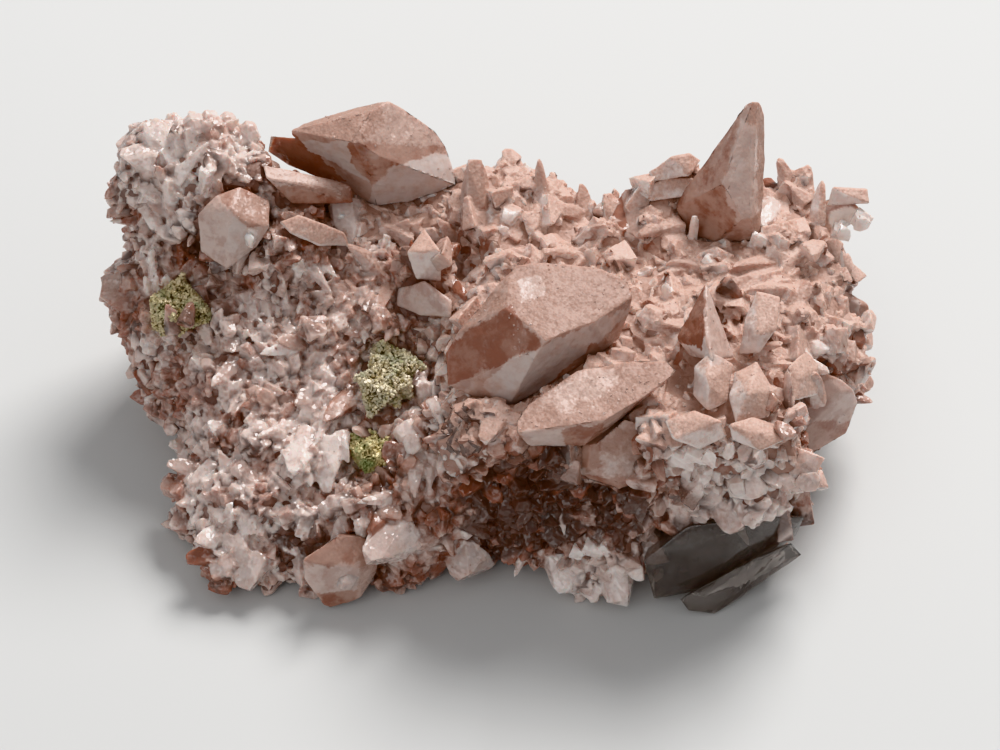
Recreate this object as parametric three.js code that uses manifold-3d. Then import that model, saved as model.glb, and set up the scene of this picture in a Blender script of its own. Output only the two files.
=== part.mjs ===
// A hand specimen of calcite with chalcopyrite: a loose lump of calcite whose outside is a crust of small
// crystals, with larger red-stained and clear calcite crystals seated in the crust and grains of chalcopyrite
// between them. Millimetres, +Z up, X along the specimen, -Y its front. The origin is the centre of the
// bounding box at the height of the broken face that the specimen rests on.
import * as THREE from "three";
import { ConvexGeometry } from "three/addons/geometries/ConvexGeometry.js";
import { ConvexHull } from "three/addons/math/ConvexHull.js";
import { MeshSurfaceSampler } from "three/addons/math/MeshSurfaceSampler.js";
import { mergeVertices } from "three/addons/utils/BufferGeometryUtils.js";
import Module from "manifold-3d";

const wasm = await Module();
wasm.setup();

// Driving dimensions.
const SEAT_GAP = 0.34; // clearance between a crystal and the socket that it stands in
const MITRE_LIMIT = 0.3; // keeps a socket's sharpest corners from running out too far
const SLIVER = 0.02; // edges shorter than this, left by a cut, are closed up
const CORE = new THREE.Vector3(0, 1, 8); // every point of the matrix can be seen from here
const BODY = new THREE.Vector3(46, 24, 16); // half sizes of the matrix, which even out its triangles
const MATRIX_DETAIL = 24; // subdivision of the bare matrix that the crust is laid out on
const MATRIX_REACH = 60; // farther from the core than any of the matrix
const LUMP_BLEND = 3; // how softly the matrix's lumps run together
const TIP_SPACING = 3.2; // between the crust's crystals
const TIP_HEIGHT = 2.3; // of a middling crust crystal
const TIP_LEAN = 0.8; // how far crust crystals lean from upright
const TIP_CLEARANCE = 1.3; // from a crust crystal's middle to its foot
const HOLLOW_SPACING = 2; // between the low corners among the crystals
const RIDGED_SHARE = 0.3; // of the crust's crystals end in a ridge
const CRUST_TRIES = 14000;
const MOST_PASSES = 60; // over the crust's edges, when they are turned
const REST_RIM = 2.5; // no crust crystals grow lower than this on the underside

// Repeatable random numbers in 0..1 (mulberry32).
function randomFrom(seed) {
  let state = seed;
  return () => {
    state = (state + 0x6d2b79f5) | 0;
    let t = Math.imul(state ^ (state >>> 15), 1 | state);
    t = (t + Math.imul(t ^ (t >>> 7), 61 | t)) ^ t;
    return ((t ^ (t >>> 14)) >>> 0) / 4294967296;
  };
}

// ---------------------------------------------------------------- solids

// A geometry with nothing but its positions.
function bareOf(geometry) {
  const bare = geometry.clone();
  bare.deleteAttribute("normal");
  bare.deleteAttribute("uv");
  return bare;
}

// A closed geometry as a manifold solid.
function solidFrom(geometry) {
  const merged = mergeVertices(bareOf(geometry), 1e-4);
  const mesh = new wasm.Mesh({
    numProp: 3,
    vertProperties: new Float32Array(merged.attributes.position.array),
    triVerts: new Uint32Array(merged.index.array),
  });
  return new wasm.Manifold(mesh);
}

// The convex solid round some points.
function hullOf(points) {
  const corners = points.map((p) => new THREE.Vector3(...p));
  return solidFrom(new ConvexGeometry(corners));
}

// The same hull with every face moved out by at least the seat gap, to cut its socket.
function socketOf(points) {
  const faceted = new ConvexGeometry(points.map((p) => new THREE.Vector3(...p)));
  const hull = mergeVertices(bareOf(faceted), 1e-4);
  const { position } = hull.attributes;
  const normals = Array.from({ length: position.count }, () => []);
  const corners = Array.from({ length: position.count }, (_, i) =>
    new THREE.Vector3().fromBufferAttribute(position, i),
  );
  for (let i = 0; i < hull.index.count; i += 3) {
    const [a, b, c] = [0, 1, 2].map((k) => hull.index.getX(i + k));
    const normal = new THREE.Triangle(corners[a], corners[b], corners[c]).getNormal(new THREE.Vector3());
    for (const corner of [a, b, c]) normals[corner].push(normal);
  }
  corners.forEach((corner, i) => {
    const outward = normals[i].reduce((sum, n) => sum.add(n), new THREE.Vector3()).normalize();
    for (let step = 0; step < 40; step++) {
      const steepest = normals[i].reduce((a, b) => (a.dot(outward) < b.dot(outward) ? a : b));
      outward.addScaledVector(steepest, 0.1).normalize();
    }
    const least = Math.min(...normals[i].map((n) => n.dot(outward)));
    const moved = corner.clone().addScaledVector(outward, SEAT_GAP / Math.max(least, MITRE_LIMIT));
    position.setXYZ(i, ...moved.toArray());
  });
  return solidFrom(hull);
}

function joined(solids) {
  return wasm.Manifold.union(solids);
}

// The largest of a solid's separate parts, without what a cut has left loose.
function largestOf(solid) {
  const parts = solid.decompose();
  return parts.reduce((a, b) => (a.volume() > b.volume() ? a : b));
}

function meshOf(name, solid, material) {
  const { vertProperties, triVerts } = solid.simplify(SLIVER).getMesh();
  const geometry = new THREE.BufferGeometry();
  geometry.setAttribute("position", new THREE.BufferAttribute(vertProperties, 3));
  geometry.setIndex(new THREE.BufferAttribute(triVerts, 1));
  const faceted = geometry.toNonIndexed();
  faceted.computeVertexNormals();
  const mesh = new THREE.Mesh(faceted, material);
  mesh.name = name;
  return mesh;
}

// ---------------------------------------------------------------- matrix

// Rounded blocks that make up the matrix: centre, half sizes inside the rounding, rounding, tilt about X.
const LUMPS = [
  { at: [20, 6.5, 14.5], half: [17, 6.5, 4], round: 6, tilt: 0 }, // right, back
  { at: [16, -5.5, 14.5], half: [14, 7.5, 4.5], round: 6, tilt: 0 }, // right, front
  { at: [34.5, 12, 16], half: [2, 3, 4], round: 5.5, tilt: 0 }, // right end
  { at: [26, 14.5, 23], half: [4.5, 1, 0.5], round: 4.5, tilt: 0 }, // foot of the spire
  { at: [-22, 11.5, 17.2], half: [14, 6, 0], round: 5, tilt: 28 }, // left slope, back
  { at: [-19, -5.5, 8], half: [10.5, 9.5, 0], round: 5, tilt: 28 }, // left slope, front
  { at: [-34.8, 17.5, 28.5], half: [2.8, 1, 1.5], round: 5, tilt: 0 }, // back left corner
  { at: [2.5, 17, 21.5], half: [4.5, 1, 1.5], round: 4.5, tilt: 0 }, // back middle
  { at: [-20.5, 9.5, 7.5], half: [12.5, 6, 2.5], round: 6, tilt: 0 }, // under the slope
  { at: [-19.5, -10.5, 2], half: [9.5, 5, 0.5], round: 5, tilt: 0 }, // low front left
  { at: [17, -8.5, 4], half: [11.5, 5, 1], round: 6, tilt: 0 }, // low front right
  { at: [-4, -9, 5], half: [5, 3.5, 2], round: 6, tilt: 0 }, // low front middle
  { at: [-40, 10, 15], half: [0.5, 1, 1.5], round: 4, tilt: 0 }, // left knob
];
// The hollow under the front crystals.
const RECESS = { at: [5, -24, 14], half: [9, 2, 0.5], round: 5, tilt: 0 };

function distanceTo(lump, p) {
  const q = p.clone().sub(new THREE.Vector3(...lump.at));
  q.applyAxisAngle(new THREE.Vector3(1, 0, 0), THREE.MathUtils.degToRad(-lump.tilt));
  const over = new THREE.Vector3(
    Math.abs(q.x) - lump.half[0],
    Math.abs(q.y) - lump.half[1],
    Math.abs(q.z) - lump.half[2],
  );
  const inside = Math.min(Math.max(over.x, over.y, over.z), 0);
  return over.max(new THREE.Vector3()).length() + inside - lump.round;
}

function smoothLeast(a, b) {
  const h = Math.max(LUMP_BLEND - Math.abs(a - b), 0) / LUMP_BLEND;
  return Math.min(a, b) - h * h * LUMP_BLEND * 0.25;
}

// Below 0 inside the matrix.
function matrixField(p) {
  const lumps = LUMPS.map((lump) => distanceTo(lump, p)).reduce(smoothLeast);
  return -smoothLeast(-lumps, distanceTo(RECESS, p));
}

// How far the matrix reaches from the core in one direction.
function reachAlong(direction) {
  const at = (t) => CORE.clone().addScaledVector(direction, t);
  let outer = MATRIX_REACH;
  while (outer > 1 && matrixField(at(outer)) > 0) outer -= 0.5;
  let inner = outer;
  outer += 0.5;
  for (let i = 0; i < 8; i++) {
    const middle = (inner + outer) / 2;
    if (matrixField(at(middle)) > 0) outer = middle;
    else inner = middle;
  }
  return inner;
}

// The matrix without its crystals, cut flat where it rests.
function matrixGeometry() {
  const geometry = mergeVertices(bareOf(new THREE.IcosahedronGeometry(1, MATRIX_DETAIL)), 1e-4);
  const { position } = geometry.attributes;
  for (let i = 0; i < position.count; i++) {
    const direction = new THREE.Vector3().fromBufferAttribute(position, i).multiply(BODY).normalize();
    const toFloor = direction.z < 0 ? -CORE.z / direction.z : Infinity;
    const point = CORE.clone().addScaledVector(direction, Math.min(reachAlong(direction), toFloor));
    position.setXYZ(i, point.x, point.y, Math.max(point.z, 0));
  }
  return geometry;
}

// ---------------------------------------------------------------- crust

// The closed surface through some corners. Each one's foot on the bare matrix says which are neighbours.
function skinThrough(corners, feet) {
  const directions = feet.map((foot) => foot.clone().sub(CORE).divide(BODY).normalize());
  const numberOf = new Map(directions.map((direction, i) => [direction, i]));
  const index = [];
  for (const face of new ConvexHull().setFromPoints(directions).faces) {
    const ring = [];
    let edge = face.edge;
    do {
      ring.push(numberOf.get(edge.head().point));
      edge = edge.next;
    } while (edge !== face.edge);
    for (let k = 1; k + 1 < ring.length; k++) index.push(ring[0], ring[k], ring[k + 1]);
  }
  const geometry = new THREE.BufferGeometry();
  geometry.setAttribute("position", new THREE.Float32BufferAttribute(corners.flatMap((c) => c.toArray()), 3));
  geometry.setIndex(evenedOut(index, feet));
  return geometry;
}

// Turns each edge whose two triangles would be better shaped the other way, until none is left.
function evenedOut(index, feet) {
  const triangles = [];
  for (let i = 0; i < index.length; i += 3) triangles.push(index.slice(i, i + 3));
  const angleAt = (c, a, b) => feet[a].clone().sub(feet[c]).angleTo(feet[b].clone().sub(feet[c]));
  let turned = 1;
  for (let pass = 0; turned && pass < MOST_PASSES; pass++) {
    turned = 0;
    const sides = new Map();
    triangles.forEach((corners, t) => {
      for (let k = 0; k < 3; k++) sides.set(`${corners[k]},${corners[(k + 1) % 3]}`, t);
    });
    const done = new Set();
    for (const [side, t] of [...sides]) {
      const [a, b] = side.split(",").map(Number);
      const u = sides.get(`${b},${a}`);
      if (done.has(t) || done.has(u)) continue;
      const c = triangles[t].find((corner) => corner !== a && corner !== b);
      const d = triangles[u].find((corner) => corner !== a && corner !== b);
      if (sides.has(`${c},${d}`) || sides.has(`${d},${c}`)) continue;
      if (angleAt(c, a, b) + angleAt(d, a, b) < Math.PI + 1e-6) continue;
      triangles[t] = [a, d, c];
      triangles[u] = [d, b, c];
      sides.set(`${c},${d}`, t);
      done.add(t).add(u);
      turned++;
    }
  }
  return triangles.flat();
}

// The matrix with the pointed crystals that cover it, finer at the left and coarser at the right. Some
// crystals end in a ridge between two tips, and low corners lie between the crystals.
function crustGeometry() {
  const random = randomFrom(5);
  const sampler = new MeshSurfaceSampler(new THREE.Mesh(matrixGeometry().toNonIndexed()));
  sampler.setRandomGenerator(random);
  sampler.build();
  const corners = [];
  const feet = [];
  const tipFeet = [];
  const clearOf = (points, at, distance) => points.every((p) => p.distanceTo(at) > distance);
  const lean = () => new THREE.Vector3(random() - 0.5, random() - 0.5, random() - 0.5);
  const sample = () => {
    const at = new THREE.Vector3();
    const normal = new THREE.Vector3();
    sampler.sample(at, normal);
    return { at, normal };
  };
  const grow = (foot, out) => {
    const corner = foot.clone().add(out);
    corner.z = Math.max(corner.z, foot.z > 0 ? 0.3 : 0);
    corners.push(corner);
    feet.push(foot);
  };
  for (let i = 0; i < CRUST_TRIES; i++) {
    const { at, normal } = sample();
    const coarse = THREE.MathUtils.smoothstep(at.x, -12, 8);
    const resting = at.z < REST_RIM && normal.z < -0.3;
    if (resting || !clearOf(tipFeet, at, TIP_SPACING * (0.9 + 0.35 * coarse))) continue;
    const height = TIP_HEIGHT * (0.6 + 0.7 * random()) * (1 + 0.3 * coarse);
    const out = normal.clone().addScaledVector(lean(), TIP_LEAN).multiplyScalar(height);
    tipFeet.push(at);
    grow(at, out);
    if (random() > RIDGED_SHARE) continue;
    const along = lean().cross(normal).setLength(1.2 + 0.8 * random());
    tipFeet.push(at.clone().add(along));
    grow(tipFeet.at(-1), out.clone().multiplyScalar(0.75 + 0.2 * random()));
  }
  const hollows = [];
  for (let i = 0; i < CRUST_TRIES; i++) {
    const { at, normal } = sample();
    const resting = at.z < 0.01;
    if (!clearOf(hollows, at, HOLLOW_SPACING * (resting ? 2 : 1))) continue;
    if (!clearOf(tipFeet, at, TIP_CLEARANCE)) continue;
    hollows.push(at);
    grow(at, resting ? new THREE.Vector3() : normal.multiplyScalar(-0.6 * random()));
  }
  return skinThrough(corners, feet);
}

// ---------------------------------------------------------------- crystal forms

// A crystal that widens from its foot to a shoulder and narrows to a short ridge. "face" is the way that its
// broad side looks.
function crystalPoints({ from, to, wide, thick, face }) {
  const foot = new THREE.Vector3(...from);
  const axis = new THREE.Vector3(...to).sub(foot);
  const across = new THREE.Vector3(...face).cross(axis).normalize();
  const through = axis.clone().cross(across).normalize();
  const points = [];
  for (const [along, width, depth] of [
    [-0.25, 0.55, 0.6],
    [0.45, 1, 1],
    [1, 0.25, 0.05],
  ])
    for (const [side, front] of [
      [1, 0],
      [-1, 0],
      [0, 1],
      [0, -1],
    ])
      points.push(
        foot
          .clone()
          .addScaledVector(axis, along)
          .addScaledVector(across, (side * width * wide) / 2)
          .addScaledVector(through, (front * depth * thick) / 2)
          .toArray(),
      );
  return points;
}

// Turns points from +Z to a direction, spun about it, and sets them down at a point.
function placed(points, at, direction, spin) {
  const turn = new THREE.Quaternion().setFromUnitVectors(
    new THREE.Vector3(0, 0, 1),
    direction.clone().normalize(),
  );
  turn.multiply(new THREE.Quaternion().setFromAxisAngle(new THREE.Vector3(0, 0, 1), spin));
  return points.map((p) => new THREE.Vector3(...p).applyQuaternion(turn).add(at).toArray());
}

// ---------------------------------------------------------------- crust's own larger crystals

const UP = [0, -0.4, 1];
const FRONT = [0, -1, 0.6];
const STANDING = [
  { from: [24.5, -7, 25], to: [24.5, -4.5, 33.5], wide: 6, thick: 4.5, face: FRONT },
  { from: [31, -8, 24], to: [31.5, -4, 31.5], wide: 5.5, thick: 2, face: FRONT },
  { from: [25, -15.5, 25.5], to: [25.5, -9.5, 30], wide: 4, thick: 3.5, face: UP },
  { from: [29, -17, 24], to: [29.5, -11.5, 29], wide: 7, thick: 3, face: UP },
  { from: [18, -18, 25], to: [26.5, -18.5, 27.5], wide: 4, thick: 3, face: UP },
  { from: [20, -17.5, 23.5], to: [33, -18.5, 24.5], wide: 6, thick: 4, face: FRONT },
  { from: [30.5, -17.5, 19], to: [31, -21.5, 11], wide: 6, thick: 5, face: FRONT },
  { from: [20, -16.5, 22.5], to: [20.5, -20.5, 17], wide: 3, thick: 3, face: FRONT },
  { from: [29.5, -18, 14], to: [30, -21, 8], wide: 3, thick: 2.5, face: FRONT },
  { from: [33.5, -14, 19], to: [33.5, -10.5, 27.5], wide: 2.2, thick: 3, face: FRONT },
  { from: [36, -16.5, 11], to: [35.5, -12, 20.5], wide: 2.6, thick: 3, face: FRONT },
  { from: [26, 17, 26], to: [21.5, 18, 31], wide: 7, thick: 4, face: UP },
  { from: [20.5, 16, 25], to: [18, 17.5, 30], wide: 5, thick: 4, face: UP },
  { from: [36, 17, 23], to: [37.5, 18.5, 29], wide: 6, thick: 5, face: UP },
  { from: [41, 7.5, 20], to: [39, 8, 28], wide: 2.5, thick: 3, face: FRONT },
  { from: [-6.5, 7.5, 21], to: [-4.5, 9, 28.5], wide: 5, thick: 4, face: FRONT },
  { from: [-5, 6.5, 20], to: [-10, 9, 27], wide: 5, thick: 3.5, face: FRONT },
  { from: [6.5, 18, 24], to: [6.5, 20.5, 29], wide: 3.5, thick: 3, face: FRONT },
  { from: [-7.5, -10.5, 15.5], to: [-8.5, -14, 6.5], wide: 4, thick: 3.5, face: FRONT },
  { from: [-6, -11.5, 14], to: [-6.5, -14, 7.5], wide: 2.5, thick: 2.5, face: FRONT },
  { from: [-21.5, -8.5, 10.5], to: [-17.5, -12.5, 6], wide: 6, thick: 5, face: FRONT },
  { from: [-22, -8.5, 11], to: [-15.5, -10, 13], wide: 4.5, thick: 4.5, face: FRONT },
  { from: [-10.5, -17.5, 8], to: [-11, -22, 3], wide: 7, thick: 6, face: FRONT },
  { from: [16.5, -15.5, 15], to: [16.5, -20.5, 9], wide: 6, thick: 5, face: FRONT },
  { from: [-25.5, 12.5, 24], to: [-17, 11.5, 25], wide: 4, thick: 3, face: UP },
  { from: [-16, 14.5, 24], to: [-15, 10, 25], wide: 4, thick: 3.5, face: UP },
  { from: [-28, -5, 14], to: [-22.5, -6.5, 14.5], wide: 3.5, thick: 3, face: UP },
  { from: [10, -19.5, 4], to: [16, -23.5, 1.5], wide: 8, thick: 6, face: FRONT },
  { from: [-33, -9.5, 7], to: [-38.5, -12, 6], wide: 4.5, thick: 4, face: UP },
  { from: [-38, 4, 13.5], to: [-42.5, 1, 10.5], wide: 4, thick: 3.5, face: UP },
  { from: [-38, 11.5, 23], to: [-43, 10.5, 27.5], wide: 3, thick: 2.5, face: FRONT },
  { from: [11, -18.5, 8], to: [19, -21.5, 5.5], wide: 5, thick: 5, face: FRONT },
];

// ---------------------------------------------------------------- larger crystals

// Corners of each larger crystal. One that grew as parallel individuals has several groups of corners.
const CRYSTALS = {
  back_left_crystal: [
    [
      [-23, 20, 33.5],
      [-21.5, 21.5, 34],
      [-13.5, 23, 37],
      [-9.5, 22, 37],
      [-4.5, 20.5, 35],
      [-1.5, 18, 33],
      [-2, 18, 31],
      [-15.5, 17, 35],
      [-4.5, 16.5, 34],
      [-3, 17.5, 27],
      [-8.5, 16, 24.5],
      [-14, 17, 24.5],
      [-16.5, 17, 27],
      [-19, 25, 27],
      [-8, 25, 27],
    ],
    [
      [-30, 21.5, 29],
      [-26.5, 21.5, 32],
      [-22, 19, 34],
      [-14, 17, 28.5],
      [-17.5, 17.5, 26],
      [-26.5, 20, 27],
      [-18, 24, 27],
    ],
    [
      [-27, 18.5, 28.5],
      [-25.5, 20.5, 28.5],
      [-17.5, 16, 28.5],
      [-17.5, 16, 24],
      [-22, 16.5, 23.5],
      [-25, 17.5, 24.5],
      [-19, 20, 23],
    ],
  ],
  centre_crystal: [
    [
      [-5.5, -9, 27],
      [-4, -7.5, 28.5],
      [3.5, -0.5, 33],
      [7, 0, 33],
      [13, -1, 33],
      [16, -2, 32],
      [16.5, -3.5, 31.5],
      [15.5, -5.5, 30.5],
      [11.5, -8.5, 31.5],
      [8, -11, 32],
      [6.5, -11, 32],
      [2, -6, 33],
      [-3.5, -10, 27.5],
      [-4, -10.5, 24],
      [0.5, -10.5, 23.5],
      [3, -13, 22.5],
      [8.5, -11, 24],
      [15.5, -5.5, 26],
      [6, 1, 26],
      [-2, -5, 25],
    ],
  ],
  front_crystal: [
    [
      [3, -17, 27.5],
      [3.5, -19, 26.5],
      [7.5, -14, 30],
      [11.5, -11, 31],
      [13.5, -10.5, 31.5],
      [17, -10.5, 31],
      [21, -11, 30.5],
      [21.5, -12.5, 29.5],
      [17.5, -15.5, 28.5],
      [13.5, -18, 28],
      [6, -19.5, 26],
      [5, -19, 23.5],
      [9.5, -19, 22.5],
      [13.5, -16.5, 23.5],
      [18, -11, 25],
      [9, -12, 25],
    ],
  ],
  round_front_crystal: [
    [
      [14, -16, 25.5],
      [16.5, -17, 26],
      [19, -18, 24.5],
      [19.5, -19, 21],
      [17.5, -19.5, 18.5],
      [15, -20, 17.5],
      [11.5, -19, 18],
      [10, -18.5, 19],
      [10.5, -18.5, 23],
      [14.5, -20.5, 23],
      [17, -14, 20],
      [12, -14, 20],
    ],
  ],
  spire_crystal: [
    [
      [30.5, 18.5, 40],
      [32, 19, 39.5],
      [32.5, 19, 38],
      [33, 16, 34],
      [32.5, 13.5, 31],
      [32, 10, 26],
      [30, 19, 39],
      [26, 16, 34],
      [24, 14.5, 31],
      [21, 12.5, 27.5],
      [22.5, 10.5, 25],
      [27, 12.5, 34],
      [27.5, 10.5, 32],
      [29, 9.5, 30],
      [30.5, 9.5, 30],
      [29, 16.5, 38],
      [30.5, 16.5, 38],
      [29, 21, 32],
      [30, 19, 26],
    ],
  ],
  right_back_crystal: [
    [
      [39.5, 14.5, 28],
      [43, 14.5, 30],
      [44.5, 13.5, 30],
      [45, 11.5, 28],
      [44.5, 10.5, 26],
      [43, 10, 24],
      [41.5, 11.5, 25],
      [42, 12, 28.5],
      [38, 10, 22],
      [37, 8, 24],
    ],
  ],
  right_end_crystal: [
    [
      [40, 7, 24.5],
      [43, 7, 24],
      [45, 6, 21],
      [45.5, 5, 18],
      [44, 5, 14],
      [41, 4, 13],
      [38, 2, 18],
      [38, 7, 22],
    ],
  ],
  right_front_crystal: [
    [
      [35, -8.5, 24],
      [36.5, -7.5, 25],
      [41.5, -7.5, 21],
      [43, -7, 17],
      [42, -8.5, 13],
      [37.5, -11, 12],
      [36, -10.5, 18],
      [36, -4, 20],
    ],
  ],
  left_shoulder_crystal: [
    [
      [-31.5, 13.5, 30.5],
      [-30, 14, 31],
      [-27.5, 14, 30.5],
      [-25, 11, 29],
      [-26, 9, 27],
      [-28.5, 8.5, 24],
      [-31, 9, 21],
      [-33.5, 9.5, 22.5],
      [-34.5, 11.5, 25],
      [-33.5, 12.5, 28],
      [-29, 9.5, 29],
      [-28, 14, 23],
    ],
  ],
  low_left_crystal: [
    [
      [-20.5, -23.5, 9],
      [-17, -22, 11],
      [-13.5, -21.5, 10],
      [-11.5, -21, 8],
      [-12.5, -22, 4],
      [-15.5, -25, 0.5],
      [-18, -25, 0.3],
      [-19, -24, 2],
      [-20.5, -24, 6],
      [-16, -17, 6],
    ],
  ],
  clear_side_crystal: [
    [
      [18, -23, 8],
      [23, -21, 12],
      [32, -20.5, 13],
      [36.5, -19, 11],
      [36, -18, 6],
      [32.5, -19.5, 3],
      [25, -23, 2],
      [19.5, -24, 1.5],
      [28, -12, 6],
      [20, -14, 5],
    ],
  ],
  clear_low_crystal: [
    [
      [22.5, -24.5, 2.5],
      [29.5, -22.5, 6],
      [31, -22, 7],
      [35, -20.5, 8],
      [36.5, -20, 5],
      [33, -21, 2],
      [29.5, -23, 0.5],
      [26.5, -25, 0.3],
      [23.5, -25, 1],
      [31, -18, 3],
    ],
  ],
};
const CLEAR_CRYSTALS = ["clear_side_crystal", "clear_low_crystal"];

// ---------------------------------------------------------------- chalcopyrite

// Where each grainy patch of chalcopyrite lies: centre, half sizes, number of grains, seed.
const ORE_PATCHES = {
  chalcopyrite_left: { at: [-35.5, 4.5, 20.5], half: [3.9, 3.2, 2], grains: 8, seed: 3 },
  chalcopyrite_front: { at: [-13.2, -10.6, 12.6], half: [2.2, 2, 1.8], grains: 6, seed: 8 },
  chalcopyrite_middle: { at: [-11.3, -2.8, 16.6], half: [3.6, 5.4, 2], grains: 9, seed: 21 },
};

// One patch is a cluster of blunt four-sided grains that overlap each other.
function oreGrains({ at, half, grains, seed }) {
  const random = randomFrom(seed);
  const found = [];
  for (let i = 0; i < grains; i++) {
    const turn = (i * 2.4) % (2 * Math.PI);
    const out = Math.sqrt(i / grains) * 0.72;
    const size = 0.42 * Math.min(...half) * (1 + 0.5 * random()) + 0.5;
    const middle = new THREE.Vector3(
      at[0] + half[0] * out * Math.cos(turn),
      at[1] + half[1] * out * Math.sin(turn),
      at[2] + half[2] * 0.35 * (random() - 0.5),
    );
    const grain = [];
    for (const [x, y, z] of [
      [1, 1, 1],
      [1, -1, -1],
      [-1, 1, -1],
      [-1, -1, 1],
      [-0.6, -0.6, -0.6],
      [0.6, 0.6, -0.5],
    ])
      grain.push([x * size, y * size, z * size]);
    const lean = new THREE.Vector3(random() - 0.5, random() - 0.5, random() - 0.5);
    found.push(placed(grain, middle, lean, random() * 6));
  }
  return found;
}

// ---------------------------------------------------------------- assembly

function finish(color, roughness, metalness = 0) {
  return new THREE.MeshStandardMaterial({ color, roughness, metalness });
}

const crustFinish = finish(0xb08c7e, 0.55);
const stainedFinish = finish(0xa9786a, 0.5);
const clearFinish = finish(0xb9b2aa, 0.2);
const oreFinish = finish(0x8a8446, 0.45, 0.6);

const specimen = new THREE.Group();
specimen.name = "calcite_with_chalcopyrite";

const taken = [];
for (const [name, groups] of Object.entries(CRYSTALS)) {
  const whole = joined(groups.map(hullOf));
  const solid = taken.length ? largestOf(whole.subtract(joined(taken))) : whole;
  taken.push(joined(groups.map(socketOf)));
  const material = CLEAR_CRYSTALS.includes(name) ? clearFinish : stainedFinish;
  specimen.add(meshOf(name, solid, material));
}
for (const [name, patch] of Object.entries(ORE_PATCHES)) {
  const grains = oreGrains(patch);
  const solid = largestOf(joined(grains.map(hullOf)).subtract(joined(taken)));
  taken.push(joined(grains.map(socketOf)));
  specimen.add(meshOf(name, solid, oreFinish));
}

const standing = STANDING.map((crystal) => hullOf(crystalPoints(crystal)));
const rock = joined([solidFrom(crustGeometry()), ...standing]);
specimen.add(meshOf("calcite_crust", largestOf(rock.subtract(joined(taken))), crustFinish));

export default specimen;
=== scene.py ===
"""Looks of a hand specimen of calcite with chalcopyrite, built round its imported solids.

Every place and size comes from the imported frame, in metres. The calcite crust becomes a matrix grown over
with small crystals, and the large crystals and the chalcopyrite take their shapes from their own solids.
"""
import math
import random
from collections import namedtuple

import bmesh
import bpy
import numpy as np
from bpy.props import FloatProperty, FloatVectorProperty, PointerProperty
from mathutils import Matrix, Vector, noise
from mathutils.bvhtree import BVHTree
from mathutils.interpolate import poly_3d_calc


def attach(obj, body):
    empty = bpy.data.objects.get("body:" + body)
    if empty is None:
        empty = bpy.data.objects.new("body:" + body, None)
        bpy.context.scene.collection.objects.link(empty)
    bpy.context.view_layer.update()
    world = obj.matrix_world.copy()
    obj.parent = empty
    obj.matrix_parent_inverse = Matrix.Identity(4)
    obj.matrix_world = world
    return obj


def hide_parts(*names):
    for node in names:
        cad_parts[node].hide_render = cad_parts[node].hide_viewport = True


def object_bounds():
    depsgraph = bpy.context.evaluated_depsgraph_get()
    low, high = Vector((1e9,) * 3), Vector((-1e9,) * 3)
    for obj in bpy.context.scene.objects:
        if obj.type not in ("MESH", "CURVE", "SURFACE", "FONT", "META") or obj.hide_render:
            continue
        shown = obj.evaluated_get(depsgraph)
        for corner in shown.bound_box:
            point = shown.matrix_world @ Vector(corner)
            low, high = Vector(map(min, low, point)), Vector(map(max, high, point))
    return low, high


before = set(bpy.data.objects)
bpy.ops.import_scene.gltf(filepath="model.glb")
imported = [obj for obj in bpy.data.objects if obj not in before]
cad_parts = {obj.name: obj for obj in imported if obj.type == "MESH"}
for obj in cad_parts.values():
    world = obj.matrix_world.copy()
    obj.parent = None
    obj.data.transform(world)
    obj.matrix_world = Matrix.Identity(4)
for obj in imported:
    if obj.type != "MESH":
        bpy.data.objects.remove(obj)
CAD_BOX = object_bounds()

bl_info = {
    "name": "Calcite specimen",
    "version": (1, 0, 0),
    "blender": (4, 5, 0),
    "location": "View3D > Sidebar > Specimen",
    "description": "Grows the crystals of a calcite and chalcopyrite specimen over its solids",
    "category": "Object",
}

MM = 0.001

# The camera, and where its 1000 x 750 frame looks.
FRAME_WIDTH = 1000
FRAME_HEIGHT = 750
LENS = 80
SENSOR = 36
CAMERA_DIP = math.radians(50)
CAMERA_PLACE = Vector((1.75, -168.9, 214.7)) * MM

# Which way the key lamp lies from the specimen, and which way a face looks that throws its light at the
# camera.
KEY_DIRECTION = Vector((0.32, 0.58, 0.78)).normalized()
TO_CAMERA = Vector((0, -math.cos(CAMERA_DIP), math.sin(CAMERA_DIP)))
GLINT = (KEY_DIRECTION + TO_CAMERA).normalized()

# Which way most of the dust came from.
DUST_DIRECTION = Vector((0.42, 0.12, 0.9)).normalized()

LARGE_CRYSTALS = (
    "back_left_crystal",
    "centre_crystal",
    "front_crystal",
    "round_front_crystal",
    "spire_crystal",
    "right_back_crystal",
    "right_end_crystal",
    "right_front_crystal",
    "left_shoulder_crystal",
    "low_left_crystal",
)
CLEAR_CRYSTALS = ("clear_side_crystal", "clear_low_crystal")

# How many grains are tried on each ore patch, and how near they may stand, as a share of their height.
ORE_TRIES = 9000
ORE_APART = 0.6

# The ore patches, each with how dusty and how grey its grains are.
ORE_PATCHES = {
    "chalcopyrite_left": (0.6, 0.2),
    "chalcopyrite_front": (0.0, 0.0),
    "chalcopyrite_middle": (0.25, 0.7),
}


def colour(red, green, blue):
    """A display colour in 0..255 as Blender's linear one."""
    parts = [v / 255 for v in (red, green, blue)]
    return tuple(v / 12.92 if v <= 0.04045 else ((v + 0.055) / 1.055) ** 2.4 for v in parts)


# ------------------------------------------------------------------------------------------ settings


def length(name, description, millimetres):
    """A length among the settings."""
    return FloatProperty(name=name, description=description, default=millimetres * MM, unit="LENGTH")


def tint(name, description, *display):
    """A colour among the settings, given as a display colour."""
    return FloatVectorProperty(
        name=name, description=description, subtype="COLOR", default=colour(*display), min=0, max=1,
    )


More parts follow.
